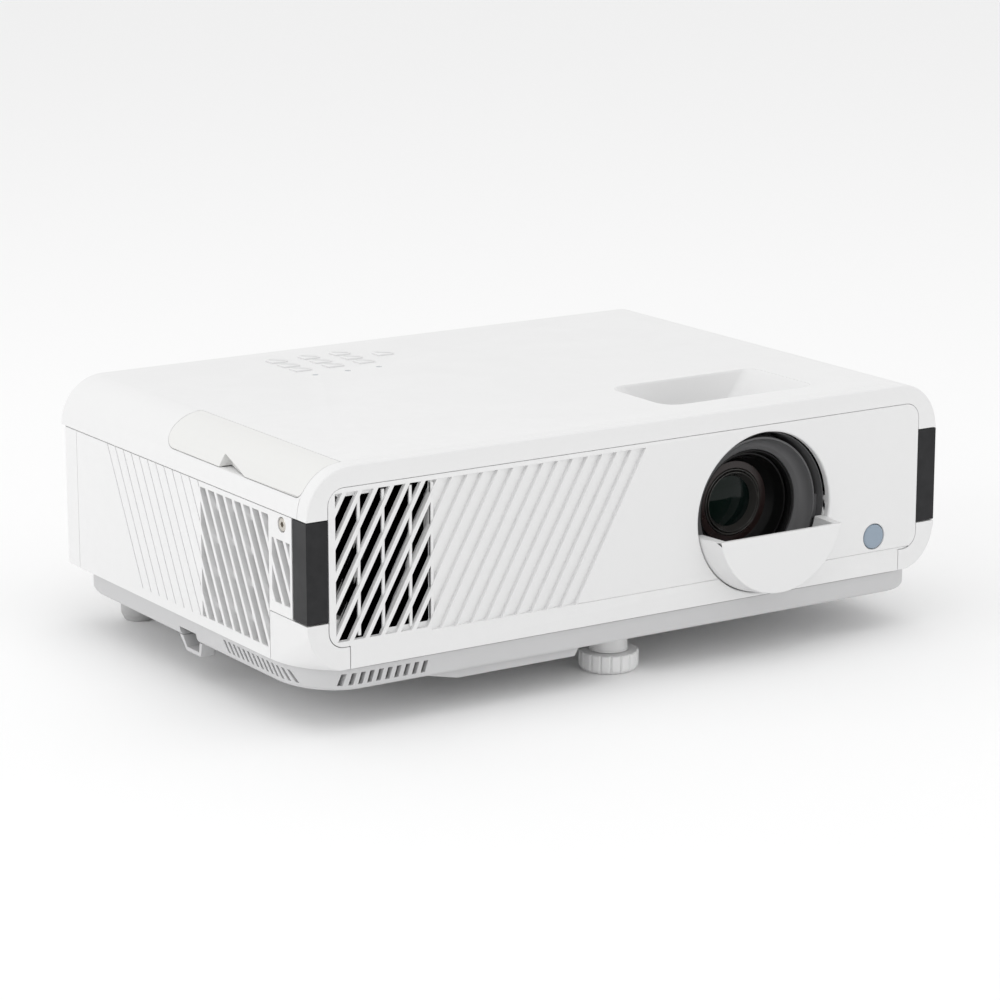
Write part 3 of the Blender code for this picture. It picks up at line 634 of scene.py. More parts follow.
def well_outline(spread, z):
    """The ring recess at a height: spread is 1 at its mouth and 0 at its floor."""
    mouth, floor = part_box("ring_well"), (0.0450, 0.0870, -0.0768, -0.0405)
    lows = (mouth[0].x, mouth[1].x, mouth[0].y, mouth[1].y)
    x0, x1, y0, y1 = (a * spread + b * (1 - spread) for a, b in zip(lows, floor))
    left, right = 0.0055 + 0.0030 * spread, 0.0045 + 0.0012 * spread
    return [Vector((x, y, z)) for x, y in filleted(rectangle(x0, y0, x1, y1), [left, right, right, left], 7)]


def make_top_cover():
    cover = prism("top_cover_moulding", shoulders(0, BAND) + list(reversed(shoulders(WALL, BAND))),
                  "y", BEZEL_BACK + TOP_JOINT, REAR)
    side_seam = (-HALF - 0.01, BEZEL_BACK - 0.01, BAND - 0.01)
    cut(cover, block("seam", side_seam, (HALF + 0.01, BEZEL_BACK + GAP, DOOR_LOW)))
    cut(cover, door_tool("door_hole", GAP))
    mouth = [(p.x, p.y) for p in well_outline(1.0, 0)]
    cut(cover, prism("mouth", mouth, "z", 0.100, 0.115))
    holes = []
    for name in KEYS:
        low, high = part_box(name)
        holes.append(block("hole", (low.x - KEY_SLIT, low.y - KEY_SLIT, 0.100), (high.x + KEY_SLIT, high.y + KEY_SLIT, 0.115)))
    for number in (1, 2, 3):
        low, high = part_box(f"status_light_{number}")
        middle = (low + high) / 2
        holes.append(drill("hole", "z", (middle.x, middle.y), 0.0014, 0.100, 0.115, 16))
    cut(cover, gathered("holes", holes))
    soften(cover, 0.00022, 2, lambda p: p.y > BEZEL_BACK + 0.0004 and not at_door_inner_edge(p) and not near_key(p))
    ledge = block("notch_ledge", (-HALF + 0.0014, -0.0500, 0.0938), (-0.1476, -0.0262, DOOR_LOW - 0.0005))
    cover = gathered("top_cover_moulding", [cover, ledge])
    finished(cover, "housing", "shell_white", "top_cover")


def make_well():
    levels = [(1.0, TOP - 0.0001), (0.93, TOP - 0.0008), (0.52, TOP - 0.0080), (0.22, TOP - 0.0125),
              (0.10, TOP - 0.0143), (0.0, TOP - 0.0150)]
    sections = [well_outline(spread, z) for spread, z in levels]
    sections.append([Vector((p.x * 0.92 + 0.0052, p.y * 0.86 - 0.0085, TOP - 0.0154)) for p in sections[-1]])
    bowl = loft("ring_well_moulding", sections)
    edit(bowl)
    pick(bowl, "FACE", lambda p, n: p.z > TOP - 0.0002)
    bpy.ops.mesh.delete(type="FACE")
    leave()
    modifier = bowl.modifiers.new("Solidify", "SOLIDIFY")
    modifier.thickness = 0.0011
    modifier.offset = 1.0
    apply_modifier(bowl, modifier)
    low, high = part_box("focus_ring"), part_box("zoom_ring")
    cut(bowl, block("window", (LENS_X - 0.0245, low[0].y - 0.0012, 0.08), (LENS_X + 0.0245, high[1].y + 0.0012, 0.0960)))
    soften(bowl, 0.0003)
    finished(bowl, "housing", "shell_white", "ring_well")


def corner_sections(reach, depth, bottom_width):
    """Plan sections of a lower case corner: square on top, and drawn in to a long curve at the bottom."""
    top, bottom = INSERT_LOW - 0.0005, SEAM + GAP
    inner = STRIP_HALF + GAP
    sections = []
    for i in range(13):
        share = i / 12
        z = top + (bottom - top) * share
        width = 0.0002 + bottom_width * (1 - math.sqrt(1 - (0.985 * share) ** 2))
        back = 0.0003 + reach * share ** 1.3
        start, end = Vector((HALF, FRONT + back)), Vector((HALF - width, FRONT))
        middle = Vector((HALF, FRONT + 0.36 * back))
        points = [Vector((inner, FRONT))]
        for k in range(13):
            t = 1 - k / 12
            points.append(start * (1 - t) ** 2 + middle * 2 * t * (1 - t) + end * t ** 2)
        points += [Vector((HALF, FRONT + depth)), Vector((inner, FRONT + depth))]
        sections.append([Vector((p.x, p.y, z)) for p in points])
    return sections


def at_door_inner_edge(point):
    return abs(point.x - DOOR_INNER) < 0.0006 and point.y < DOOR_REAR - 0.0015


def near_key(point):
    return -0.070 < point.x < -0.005 and point.y > 0.05 and point.z > 0.1


def make_front_bezel():
    arch = prism("front_bezel_moulding", shoulders(0, BAND) + list(reversed(panel_top(PANEL_JOINT))),
                 "y", FRONT, BEZEL_BACK)
    soften(arch, 0.0009, 3, lambda p: p.y < FRONT + 0.0001 and p.z > BAND + 0.0005
           and (abs(p.x) > PANEL_HALF + 0.002 or p.z > PANEL_TOP + 0.002))
    soften(arch, 0.00022, 2, lambda p: p.z < DOOR_LOW and p.y < BEZEL_BACK - 0.001, 40)
    legs = []
    for side in (-1, 1):
        legs.append(block("leg", (side * (PANEL_HALF + GAP), FRONT + 0.0028, INSERT_LOW - 0.0004),
                          (side * (HALF - 0.0028), BEZEL_BACK, BAND + 0.002)))
    corner = loft("corner", corner_sections(0.0290, 0.0293, 0.0176))
    cut(corner, block("clear", (0.10, -0.086, 0.0), (0.146, -0.05, 0.1)))
    cut(corner, front_panel_blank("panel_space", GAP))
    soften(corner, 0.00030, 2)
    arch = gathered("front_bezel_moulding", [arch, *legs, corner, mirrored(corner, "corner_left")])
    finished(arch, "housing", "shell_white.front", "front_bezel")


def front_panel_blank(name, grow):
    """The front panel's plate: a bar as wide as its lowest strip, drawn out to both sides above it."""
    panel = block(name, (-STRIP_HALF - grow, FRONT - 10 * grow, SEAM + GAP - 30 * grow),
                  (STRIP_HALF + grow, FRONT + 0.0030 + grow, PANEL_TOP + grow))
    edit(panel)
    bpy.ops.mesh.select_all(action="SELECT")
    bpy.ops.mesh.bisect(plane_co=(0, 0, STRIP_TOP - grow), plane_no=(0, 0, 1), threshold=1e-7)
    for side in (-1, 1):
        pick(panel, "FACE", lambda p, n: n.x * side > 0.9 and p.z > STRIP_TOP)
        reach = side * (PANEL_HALF - STRIP_HALF)
        bpy.ops.mesh.extrude_region_move(TRANSFORM_OT_translate={"value": (reach, 0, 0)})
    pick(panel, "EDGE", lambda p, d: abs(d.y) > 0.9 and abs(p.x) > PANEL_HALF - 0.001)
    bpy.ops.mesh.bevel(offset=0.0066 + grow, segments=7, affect="EDGES", clamp_overlap=False)
    face_out()
    leave()
    return panel


def slanted_cutter(name, wall, span, reach, first, width, lean, pitch, count, depth, step):
    """Slanted cutters side by side in a wall. A step has its full depth only on its far side."""
    along, inward, surface_at = wall
    low, high = Vector((0, 0, span[0])), Vector((0, 0, span[1]))
    low[along], high[along] = first, first + width
    low[inward], high[inward] = surface_at - CUT_PROUD, surface_at + depth
    tool = block(name, low, high)
    edit(tool)
    if step:
        pick(tool, "VERT", lambda p, n: p[along] < first + 1e-5 and p[inward] > surface_at)
        lift = Vector((0, 0, 0))
        lift[inward] = -(depth + 0.00004)
        bpy.ops.transform.translate(value=lift)
    pick(tool, "VERT", lambda p, n: p.z > span[1] - 1e-5)
    slide = Vector((0, 0, 0))
    slide[along] = lean * (span[1] - span[0])
    bpy.ops.transform.translate(value=slide)
    leave()
    offset = Vector((0, 0, 0))
    offset[along] = pitch
    repeated(tool, count, offset)
    trimmed(tool, along, *reach)
    return tool


def make_front_panel():
    wall = (0, 1, FRONT)
    vent = (-0.1430, -0.0998)
    vent_span = (0.0404, 0.0954)
    relief_span = (0.0368, 0.0974)
    last_line = -0.0308  # where the last slanted line meets the bottom of the relief
    panel = front_panel_blank("front_panel_moulding", 0.0)
    frame_low = (vent[0] - 0.0014, FRONT + 0.0020, vent_span[0] - 0.0014)
    frame_high = (vent[1] + 0.0014, FRONT + VENT_DEPTH, vent_span[1] + 0.0014)
    weld(panel, block("vent_frame", frame_low, frame_high))
    cut(panel, drill("mouth", "y", (LENS_X, LENS_Z), LENS_HOLE, -0.12, -0.08, 96))
    cut(panel, drill("window", "y", (WINDOW.x, WINDOW.z), 0.0056, -0.12, -0.08, 40))
    edit(panel)
    pick(panel, "EDGE", lambda p, d: p.y < FRONT + 1e-5
         and abs(Vector((p.x - LENS_X, p.z - LENS_Z)).length - LENS_HOLE) < 0.0004)
    bpy.ops.mesh.bevel(offset=0.0009, segments=3, affect="EDGES", clamp_overlap=False)
    pick(panel, "EDGE", lambda p, d: p.y < FRONT + 1e-5
         and abs(Vector((p.x - WINDOW.x, p.z - WINDOW.z)).length - 0.0056) < 0.0003)
    bpy.ops.mesh.bevel(offset=0.0005, segments=3, affect="EDGES", clamp_overlap=False)
    leave()
    count = 26
    start = last_line - FRONT_PITCH * count
    cut(panel, slanted_cutter("steps", wall, relief_span, (vent[1] + 0.0003, 0.05), start + 0.0002,
                              FRONT_PITCH - 0.0002, FRONT_LEAN, FRONT_PITCH, count, RELIEF, True))
    shelf_span = (0.0382, relief_span[1])
    at_shelf = start + FRONT_LEAN * (shelf_span[0] - relief_span[0])
    cut(panel, slanted_cutter("shelves", wall, shelf_span, vent, at_shelf + SLAT, FRONT_PITCH - SLAT,
                              FRONT_LEAN, FRONT_PITCH, count, RELIEF, False))
    at_vent = start + FRONT_LEAN * (vent_span[0] - relief_span[0])
    inside = (vent[0] + 0.0001, vent[1] - 0.0001)
    cut(panel, slanted_cutter("slots", wall, vent_span, inside, at_vent + SLAT + 0.00005,
                              FRONT_PITCH - SLAT - 0.0001, FRONT_LEAN, FRONT_PITCH, count, 0.02, False))
    seam_low = (last_line + 0.0006, FRONT - 0.001, relief_span[0] - 0.00015)
    cut(panel, block("seam", seam_low, (PANEL_HALF - 0.004, FRONT + 0.0004, relief_span[0] + 0.00015)))
    soften(panel, 0.00014, 2)
    ribs = [block("end_wall", (vent[1], FRONT + 0.0004, vent_span[0] - 0.001),
                  (vent[1] + 0.0014, FRONT + 0.0055, vent_span[1] + 0.001))]
    for x in (-0.1320, -0.1210, -0.1085):
        ribs.append(block("rib", (x - 0.0006, FRONT + 0.0010, vent_span[0] - 0.001),
                          (x + 0.0006, FRONT + 0.0040, vent_span[1] + 0.001)))
    panel = gathered("front_panel_moulding", [panel, *ribs])
    finished(panel, "housing", "shell_white.front", "front_panel")


def make_side_panels():
    wall = (1, 0, -HALF)
    low, high, step_y, step_z = SEAM + GAP, BAND - GAP, -0.0694, INSERT_LOW - 0.0002
    front, rear = -0.0876, HOOP - GAP
    big = (-0.0696, -0.0141)
    big_span = (0.0313, 0.0851)
    small = (-0.0860, -0.0720)
    small_span = (0.0512, 0.0767)
    outline = [(step_y, low), (rear, low), (rear, high), (front, high), (front, step_z), (step_y, step_z)]
    panel = prism("side_panel_left_moulding", outline, "x", -HALF, -HALF + 0.0025)
    frames = [
        block("frame", (-HALF + 0.0015, big[0] + 0.0004, big_span[0] - 0.0014),
              (-HALF + 0.0046, big[1] + 0.0014, big_span[1] + 0.0014)),
        block("frame", (-HALF + 0.0015, small[0] - 0.0008, small_span[0] - 0.0010),
              (-HALF + 0.0044, small[1] + 0.0008, small_span[1] + 0.0010)),
    ]
    weld(panel, *frames)
    count = 36
    relief_low = 0.0309
    line = 0.0027 - SIDE_PITCH * 26 - SIDE_LEAN * (0.0877 - relief_low)  # the first line, at the relief's foot
    slits = (big[1] + 0.0008, rear - 0.0004)
    cut(panel, slanted_cutter("slits", wall, (relief_low, BAND + 0.001), slits, line - 0.0003, 0.0006,
                              SIDE_LEAN, SIDE_PITCH, count, 0.0012, False))
    for reach, span in ((big, big_span), (small, small_span)):
        at_span = line + SIDE_LEAN * (span[0] - relief_low)
        cut(panel, slanted_cutter("slots", wall, span, reach, at_span + SLAT, SIDE_PITCH - SLAT,
                                  SIDE_LEAN, SIDE_PITCH, count, 0.02, False))
    right = mirrored(panel, "side_panel_right_moulding")
    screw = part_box("lamp_door_screw")
    middle = (screw[0] + screw[1]) / 2
    cut(panel, drill("screw_hole", "x", (middle.y, middle.z), 0.0031, -0.17, -0.14, 32))
    for piece, side, node in ((panel, -1, "side_panel_left"), (right, 1, "side_panel_right")):
        soften(piece, 0.00014, 2)
        ribs = []
        for y in (-0.0667, -0.0521, -0.0374, -0.0240):
            ribs.append(block("rib", (side * (HALF - 0.0022), y - 0.0007, big_span[0] - 0.001),
                              (side * (HALF - 0.0045), y + 0.0007, big_span[1] + 0.001)))
        name = piece.name
        piece = gathered(name, [piece, *ribs])
        finished(piece, "housing", "shell_white.side", node)


def make_inserts():
    front_leg, side_leg, thick = 0.0097, 0.0108, 0.0025
    for node, side in (("corner_insert_left", -1), ("corner_insert_right", 1)):
        outline = [
            (side * HALF, FRONT), (side * HALF, FRONT + side_leg), (side * (HALF - thick), FRONT + side_leg),
            (side * (HALF - thick), FRONT + thick), (side * (HALF - front_leg), FRONT + thick),
            (side * (HALF - front_leg), FRONT),
        ]
        piece = prism(f"{node}_trim", outline, "z", INSERT_LOW, BAND - GAP)
        soften(piece, 0.0003, 3)
        finished(piece, "housing", "satin_black", node)


def base_outline(inset):
    """Plan of the base, with its long corner curves."""
    x, front, rear = HALF - 0.0025 - inset, FRONT + 0.0015 + inset, REAR - 0.0025 - inset
    a, b = 0.021, 0.027
    points = []
    for cx, cy, start in ((x - a, front + b, -90), (x - a, rear - b, 0), (a - x, rear - b, 90), (a - x, front + b, 180)):
        for px, py in arc((0, 0), 1.0, start, start + 90, 10):
            points.append((cx + px * a, cy + py * b))
    return points


def leaning_louvres(name, low, high, slide, count, pitch):
    """A row of louvre cutters, each drawn over at its top by the slide."""
    row = block(name, low, high)
    edit(row)
    pick(row, "VERT", lambda p, n: p.z > high[2] - 1e-5)
    bpy.ops.transform.translate(value=slide)
    leave()
    repeated(row, count, pitch)
    return row


def make_base():
    low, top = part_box("base_tray")[0].z, SEAM - GAP
    floor = 0.0172
    levels = [(0.0016, floor), (0.0005, floor + 0.0004), (0.0, floor + 0.0015), (0.0, top)]
    tray = loft("base_tray_moulding", [[Vector((x, y, z)) for x, y in base_outline(i)] for i, z in levels])
    cut(tray, prism("hollow", base_outline(0.0025), "z", floor + 0.0016, 0.04))
    plinth = [(-0.0996, floor + 0.0010), (-0.0996, 0.0165), (-0.0838, low), (-0.0273, low), (-0.0251, 0.0165),
              (-0.0251, floor + 0.0010)]
    weld(tray, prism("plinth", plinth, "y", FRONT + 0.0060, -0.0300))
    weld(tray, drill("boss", "z", (FOOT.x, FOOT.y), 0.0115, 0.0168, 0.0235, 48))
    side_row = leaning_louvres("side_louvres", (-HALF - 0.001, -0.0832, 0.0195), (-HALF + 0.0120, -0.0815, 0.0238),
                               (0, 0.0045, 0), 14, (0, 0.0039, 0))
    other_row = mirrored(side_row, "side_louvres_right")
    front_row = leaning_louvres("front_louvres", (-0.1408, FRONT - 0.001, 0.0195), (-0.1388, FRONT + 0.0120, 0.0241),
                                (0.0016, 0, 0), 10, (0.0041, 0, 0))
    cut(tray, side_row, other_row, front_row)
    cut(tray, drill("foot_hole", "z", (FOOT.x, FOOT.y), 0.0085, 0.010, 0.05, 48))
    opening = [(-0.0056, 0.0150), (0.0085, 0.0150), (0.0112, 0.0205), (-0.0030, 0.0205)]
    cut(tray, prism("lock_space", opening, "x", -HALF - 0.01, -0.1450))
    soften(tray, 0.00020, 2)
    finished(tray, "housing", "base_grey", "base_tray")
    loop = [(-0.0072, 0.0171), (-0.0060, 0.0113), (0.0062, 0.0113), (0.0122, 0.0171)]
    eye = prism("security_loop", loop, "x", -0.1530, -0.1466)
    cut(eye, prism("eye_hole", [(-0.0052, 0.0180), (-0.0046, 0.0130), (0.0058, 0.0130), (0.0096, 0.0180)],
                   "x", -0.16, -0.14))
    soften(eye, 0.00025, 2)
    finished(eye, "housing", "base_grey", "security_bar")


def notch_section(inner, top, y):
    """The finger notch at one place along the door, seen from the front."""
    low = DOOR_LOW - 0.0020
    corners = [(-HALF - 0.004, low), (inner, low), (inner + 0.0010, top - 0.0040), (-HALF - 0.004, top)]
    return [Vector((x, y, z)) for x, z in filleted(corners, [0, 0, 0.0020, 0], 5)]


def make_lamp_door():
    inner = SHOULDER - WALL
    centre = (-HALF + SHOULDER, TOP - SHOULDER)
    outline = arc(centre, SHOULDER, 180, 85, 20) + arc(centre, inner, 85, 180, 20)
    door = prism("lamp_door_moulding", outline, "y", BEZEL_BACK - 0.001, DOOR_REAR + 0.002)
    behind = arc(centre, SHOULDER - 0.0006, 185, 112, 14) + arc(centre, inner - 0.0062, 112, 185, 14)
    weld(door, prism("notch_backing", behind, "y", -0.0505, -0.0258))
    combine(door, door_tool("door_shape", 0.0), "INTERSECT")
    notch = loft("notch", [notch_section(-HALF + 0.0014, 0.0992, -0.0490), notch_section(-HALF + 0.0070, 0.1035, -0.0275)])
    cut(door, notch)
    soften(door, 0.00022, 2, lambda p: not at_door_inner_edge(p))
    finished(door, "lamp_door", "shell_white.door", "lamp_door")


def make_screw():
    low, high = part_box("lamp_door_screw")
    y, z = (low.y + high.y) / 2, (low.z + high.z) / 2
    head = -HALF + 0.0002
    outline = filleted([(0, head), (0.0027, head), (0.0028, head + 0.0016), (0.0014, head + 0.0018),
                        (0.0014, head + 0.0065), (0, head + 0.0068)], [0, 0.0005, 0.0002, 0, 0.0002, 0], 4)
    screw = turned("lamp_door_screw_head", outline, "x", (y, z), 40)
    star = []
    for i in range(12):
        angle = math.pi * i / 6
        radius = 0.00135 if i % 2 == 0 else 0.00095
        star.append((y + radius * math.cos(angle), z + radius * math.sin(angle)))
    cut(screw, prism("socket", star, "x", head - 0.001, head + 0.0013))
    soften(screw, 0.00006, 1)
    finished(screw, "lamp_screw", "steel", "lamp_door_screw")


KEYS = ("key_menu", "key_up", "key_source", "key_left", "key_enter", "key_right", "key_exit", "key_down",
        "key_help", "key_power")


def make_keys():
    low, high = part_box(KEYS[0])
    key = prism("key_cap", filleted(rectangle(low.x, low.y, high.x, high.y), 0.0005, 4), "z", low.z, high.z)
    edit(key)
    pick(key, "FACE", lambda p, n: n.z > 0.9)
    bpy.ops.mesh.inset(thickness=0.0009, depth=0.0)
    bpy.ops.transform.translate(value=(0, 0, -0.00012))
    leave()
    soften(key, 0.0005, 3, lambda p: p.z > high.z - 0.0001)
    middle = (low + high) / 2
    for name in KEYS:
        here = (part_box(name)[0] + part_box(name)[1]) / 2
        cap = copied(key, f"{name}_cap", here - middle)
        finished(cap, name, "shell_white", name)
    bpy.data.objects.remove(key)
    for number in (1, 2, 3):
        low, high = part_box(f"status_light_{number}")
        place = (low + high) / 2
        outline = [(0, low.z), (0.0012, low.z), (0.0012, high.z - 0.0002), (0.0009, high.z), (0, high.z + 0.00005)]
        pipe = turned(f"status_light_pipe_{number}", outline, "z", (place.x, place.y), 24)
        finished(pipe, "housing", "window_blue.pale", f"status_light_{number}")


# ---------------------------------------------------------------- lens


def make_lip():
    lip_outline = filleted([(0, LIP_FRONT), (0.0319, LIP_FRONT), (0.0338, FRONT), (0.0338, FRONT + 0.0035),
                            (0, FRONT + 0.0035)], [0, 0.0006, 0, 0, 0], 4)
    lip = turned("lens_lip_moulding", lip_outline, "y", (LENS_X, LENS_Z), 96)
    cut(lip, block("above", (0.0, -0.13, LIP_TOP), (0.13, -0.08, 0.12)))
    scoop = turned("scoop", [(0, LIP_FRONT + 0.0016), (0.0288, LIP_FRONT + 0.0016), (0.0306, FRONT + 0.01),
                             (0, FRONT + 0.01)], "y", (LENS_X, LENS_Z), 96)
    cut(lip, scoop)
    soften(lip, 0.00025, 2, lambda p: p.y < FRONT - 0.0005)
    finished(lip, "housing", "shell_white.side", "lens_lip")


def make_shroud():
    centre = (LENS_X, LENS_Z)
    cone = turned("lens_shroud_cone", filleted(
        [(0.0302, -0.0930), (0.0310, -0.0930), (0.0312, -0.0900), (0.0312, -0.0860), (0.0262, -0.0800),
         (0.0244, -0.0800), (0.0246, -0.0872), (0.0262, -0.0884), (0.0285, -0.0897)],
        [0.0002, 0.0003, 0, 0, 0, 0, 0.0004, 0.004, 0.006], 5), "y", centre, 96)
    rim = turned("shroud_outer_wall", [(0.0334, -0.0953), (0.0338, -0.0953), (0.0338, -0.0790), (0.0312, -0.0770),
                                       (0.0300, -0.0800), (0.0324, -0.0830)], "y", centre, 96)
    lug = block("lug", (LENS_X + 0.0298, -0.0918, LENS_Z - 0.0081), (LENS_X + 0.0331, -0.0850, LENS_Z + 0.0021))
    shroud = gathered("lens_shroud_rings", [cone, rim, lug])
    soften(shroud, 0.0002, 2)
    finished(shroud, "housing", "shroud_grey", "lens_shroud")


def make_barrel():
    centre = (LENS_X, LENS_Z)
    tube = turned("lens_barrel_tube", filleted(
        [(0.0236, -0.0866), (0.0243, -0.0866), (0.0243, -0.0795), (0.0265, -0.0790), (0.0265, -0.0210),
         (0.0290, -0.0210), (0.0290, -0.0180), (0.0238, -0.0180), (0.0238, -0.0600), (0.0236, -0.0640),
         (0.0229, -0.0850)], [0.0003, 0.0003, 0, 0, 0, 0, 0, 0, 0, 0, 0.0003], 3), "y", centre, 80)
    finished(tube, "housing", "lens_black", "lens_barrel")


def make_front_cell():
    """The moving front cell: a black funnel, thin retaining rings lightened as a painted highlight, a ring coloured as
    a painted reflection, and the coated element.
    """
    centre = (LENS_X, LENS_Z)
    funnel = turned("front_cell_funnel", filleted(
        [(0.0218, -0.0838), (0.0226, -0.0838), (0.0227, -0.0660), (0.0146, -0.0660), (0.0148, -0.0748),
         (0.0180, -0.0758), (0.0203, -0.0790)], [0.0002, 0.0002, 0, 0, 0, 0.002, 0.003], 4), "y", centre, 80)
    finished(funnel, "focus_lens", "lens_black", "lens_front_cell")
    # A ring put inside the funnel only to carry a painted reflection: the coating's dark red glow.
    painted_reflection_ring = turned("front_cell_painted_reflection_ring", filleted(
        [(0.0146, -0.0766), (0.0176, -0.0764), (0.0176, -0.0750), (0.0146, -0.0750)], 0.0002, 2), "y", centre, 80)
    finished(painted_reflection_ring, "focus_lens", "lens_black.painted_reflection")
    # These rings are real parts; their lighter colour is a painted highlight.
    outer = turned("front_element_outer_ring", filleted(
        [(0.0134, -0.0762), (0.0138, -0.0768), (0.0142, -0.0768), (0.0144, -0.0760), (0.0144, -0.0735),
         (0.0134, -0.0735)], [0.0001, 0.0002, 0.0002, 0, 0, 0], 3), "y", centre, 80)
    finished(outer, "focus_lens", "lens_black.painted_highlight_rim")
    ring = turned("front_element_ring", filleted(
        [(0.0108, -0.0735), (0.0126, -0.0770), (0.0130, -0.0770), (0.0131, -0.0725), (0.0108, -0.0725)],
        [0.0002, 0.0002, 0.0002, 0, 0], 3), "y", centre, 80)
    finished(ring, "focus_lens", "lens_black.painted_highlight_rim")
    outline = [(0, -0.0725), (0.0108, -0.0725)]
    for i in range(10, -1, -1):
        radius = 0.0108 * i / 10
        outline.append((radius, -0.0752 + 0.0012 * (radius / 0.0108) ** 2))
    glass = turned("front_element", outline, "y", centre, 64)
    finished(glass, "focus_lens", "lens_glass", "lens_front_glass")


def make_rings():
    """Grip rings with fine teeth and a finger tab each."""
    for node in ("focus_ring", "zoom_ring"):
        low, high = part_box(node)
        teeth, radius = 60, 0.0309
        front, back = low.y, high.y
        sections = []
        for y, scale in ((front, 0.972), (front + 0.0007, 1.0), (back - 0.0007, 1.0), (back, 0.972)):
            section = []
            for i in range(teeth * 4):
                angle = 2 * math.pi * i / (teeth * 4)
                r = (radius - (0.0007 if i % 4 >= 2 else 0.0)) * scale
                section.append(Vector((LENS_X + r * math.cos(angle), y, LENS_Z + r * math.sin(angle))))
            sections.append(section)
        ring = loft(f"{node}_grip", sections)
        cut(ring, drill("bore", "y", (LENS_X, LENS_Z), 0.0269, front - 0.01, back + 0.01, 96))
        tab = block("tab", (LENS_X - 0.0030, front + 0.0030, LENS_Z + 0.0290),
                    (LENS_X + 0.0030, back - 0.0030, high.z))
        edit(tab)
        pick(tab, "FACE", lambda p, n: n.z > 0.9)
        bpy.ops.transform.resize(value=(0.72, 0.72, 1), center_override=(LENS_X, (front + back) / 2, high.z))
        leave()
        weld(ring, tab)
        soften(ring, 0.0002, 1, lambda p: p.z > LENS_Z + 0.0312)
        finished(ring, node, "lens_black", node)


# ---------------------------------------------------------------- feet and fittings


def make_feet():
    low, high = KNOB
    lobes, steps = 18, 12
    sections = []
    radius = high.x - FOOT.x
    levels = ((0.0008, 0.0046, 0.0), (0.0, 0.0040, 0.0), (0.0, 0.0022, 0.2), (0.0003, 0.0014, 0.6),
              (0.0014, 0.0003, 1.0), (0.0022, 0.0, 1.0), (0.0078, 0.0, 1.0), (0.0082, 0.0004, 1.0))
    for z, inset, share in levels:
        section = []
        for i in range(lobes * steps):
            angle = 2 * math.pi * i / (lobes * steps)
            groove = max(0.0, 1 - abs(math.sin(lobes * angle / 2)) / 0.42)
            r = radius - inset - 0.0008 * share * groove
            section.append(Vector((FOOT.x + r * math.cos(angle), FOOT.y + r * math.sin(angle), z)))
        sections.append(section)
    knob = loft("front_foot_grip", sections)
    finished(knob, "foot_knob", "shell_white.side", "front_foot_knob")
    stem_low, stem_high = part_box("front_foot_stem")
    outline = [(0, stem_low.z), (0.0081, stem_low.z), (0.0081, stem_low.z + 0.0006), (0.0079, stem_low.z + 0.0008),
               (0.0079, 0.0165), (0.0081, 0.0168), (0.0081, stem_high.z), (0, stem_high.z)]
    stem = turned("front_foot_post", outline, "z", (FOOT.x, FOOT.y), 64)
    finished(stem, "foot_stem", "shell_white", "front_foot_stem")
    for node in ("rear_foot_left", "rear_foot_right"):
        box_low, box_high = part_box(node)
        middle = (box_low + box_high) / 2
        outline = filleted([(0, 0.0), (0.0064, 0.0), (0.0079, 0.0030), (0.0082, box_high.z), (0, box_high.z)],
                           [0, 0.0008, 0.0010, 0, 0], 4)
        foot = turned(f"{node}_pad", outline, "z", (middle.x, middle.y), 48)
        finished(foot, "housing", "foot_rubber", node)


def make_window():
    low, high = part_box("ir_window")
    outline = filleted([(0, low.y), (0.0047, low.y), (0.0053, low.y + 0.0006), (0.0053, high.y), (0, high.y)],
                       [0, 0.0004, 0.0003, 0, 0], 3)
    window = turned("ir_window_lens", outline, "y", (WINDOW.x, WINDOW.z), 48)
    finished(window, "housing", "window_blue", "ir_window")


def make_rear_panel():
    plate = 0.0025
    outline = [(-HALF, HOOP), (-HALF + plate, HOOP), (-HALF + plate, REAR - plate), (HALF - plate, REAR - plate),
               (HALF - plate, HOOP), (HALF, HOOP), (HALF, REAR), (-HALF, REAR)]
    radii = [0, 0, 0.002, 0.002, 0, 0, 0.0045, 0.0045]
    panel = prism("rear_panel_moulding", filleted(outline, radii, 5), "z", SEAM + GAP, BAND - GAP)
    weld(panel, prism("upper", shoulders(WALL + GAP, 0.080), "y", REAR - plate, REAR - 0.0006))
    for low_x, high_x, low_z, high_z in (INLET_OPENING, PLATE_OPENING):
        opening = filleted(rectangle(low_x, low_z, high_x, high_z), 0.0012, 4)
        cut(panel, prism("opening", opening, "y", 0.10, 0.12))
    slots = block("slots", (-0.140, 0.10, 0.0640), (-0.060, 0.12, 0.0666))
    repeated(slots, 7, (0, 0, 0.0052))
    cut(panel, slots)
    soften(panel, 0.0003, 2)
    finished(panel, "housing", "shell_white", "rear_panel")


def make_socket_plate():
    low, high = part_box("socket_plate")
    plate = prism("socket_plate_moulding", filleted(rectangle(low.x, low.z, high.x, high.z), 0.0010, 4),
                  "y", low.y, high.y)
    for node in ("hdmi_port_1", "hdmi_port_2", "usb_port"):
        a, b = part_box(node)
        cut(plate, block("socket", (a.x - GAP, 0.10, a.z - GAP), (b.x + GAP, 0.12, b.z + GAP)))
    for node in ("audio_in_jack", "audio_out_jack"):
        middle = (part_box(node)[0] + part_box(node)[1]) / 2
        cut(plate, drill("jack", "y", (middle.x, middle.z), 0.0039, 0.10, 0.12, 32))
    soften(plate, 0.0002, 2)
    finished(plate, "housing", "base_grey", "socket_plate")


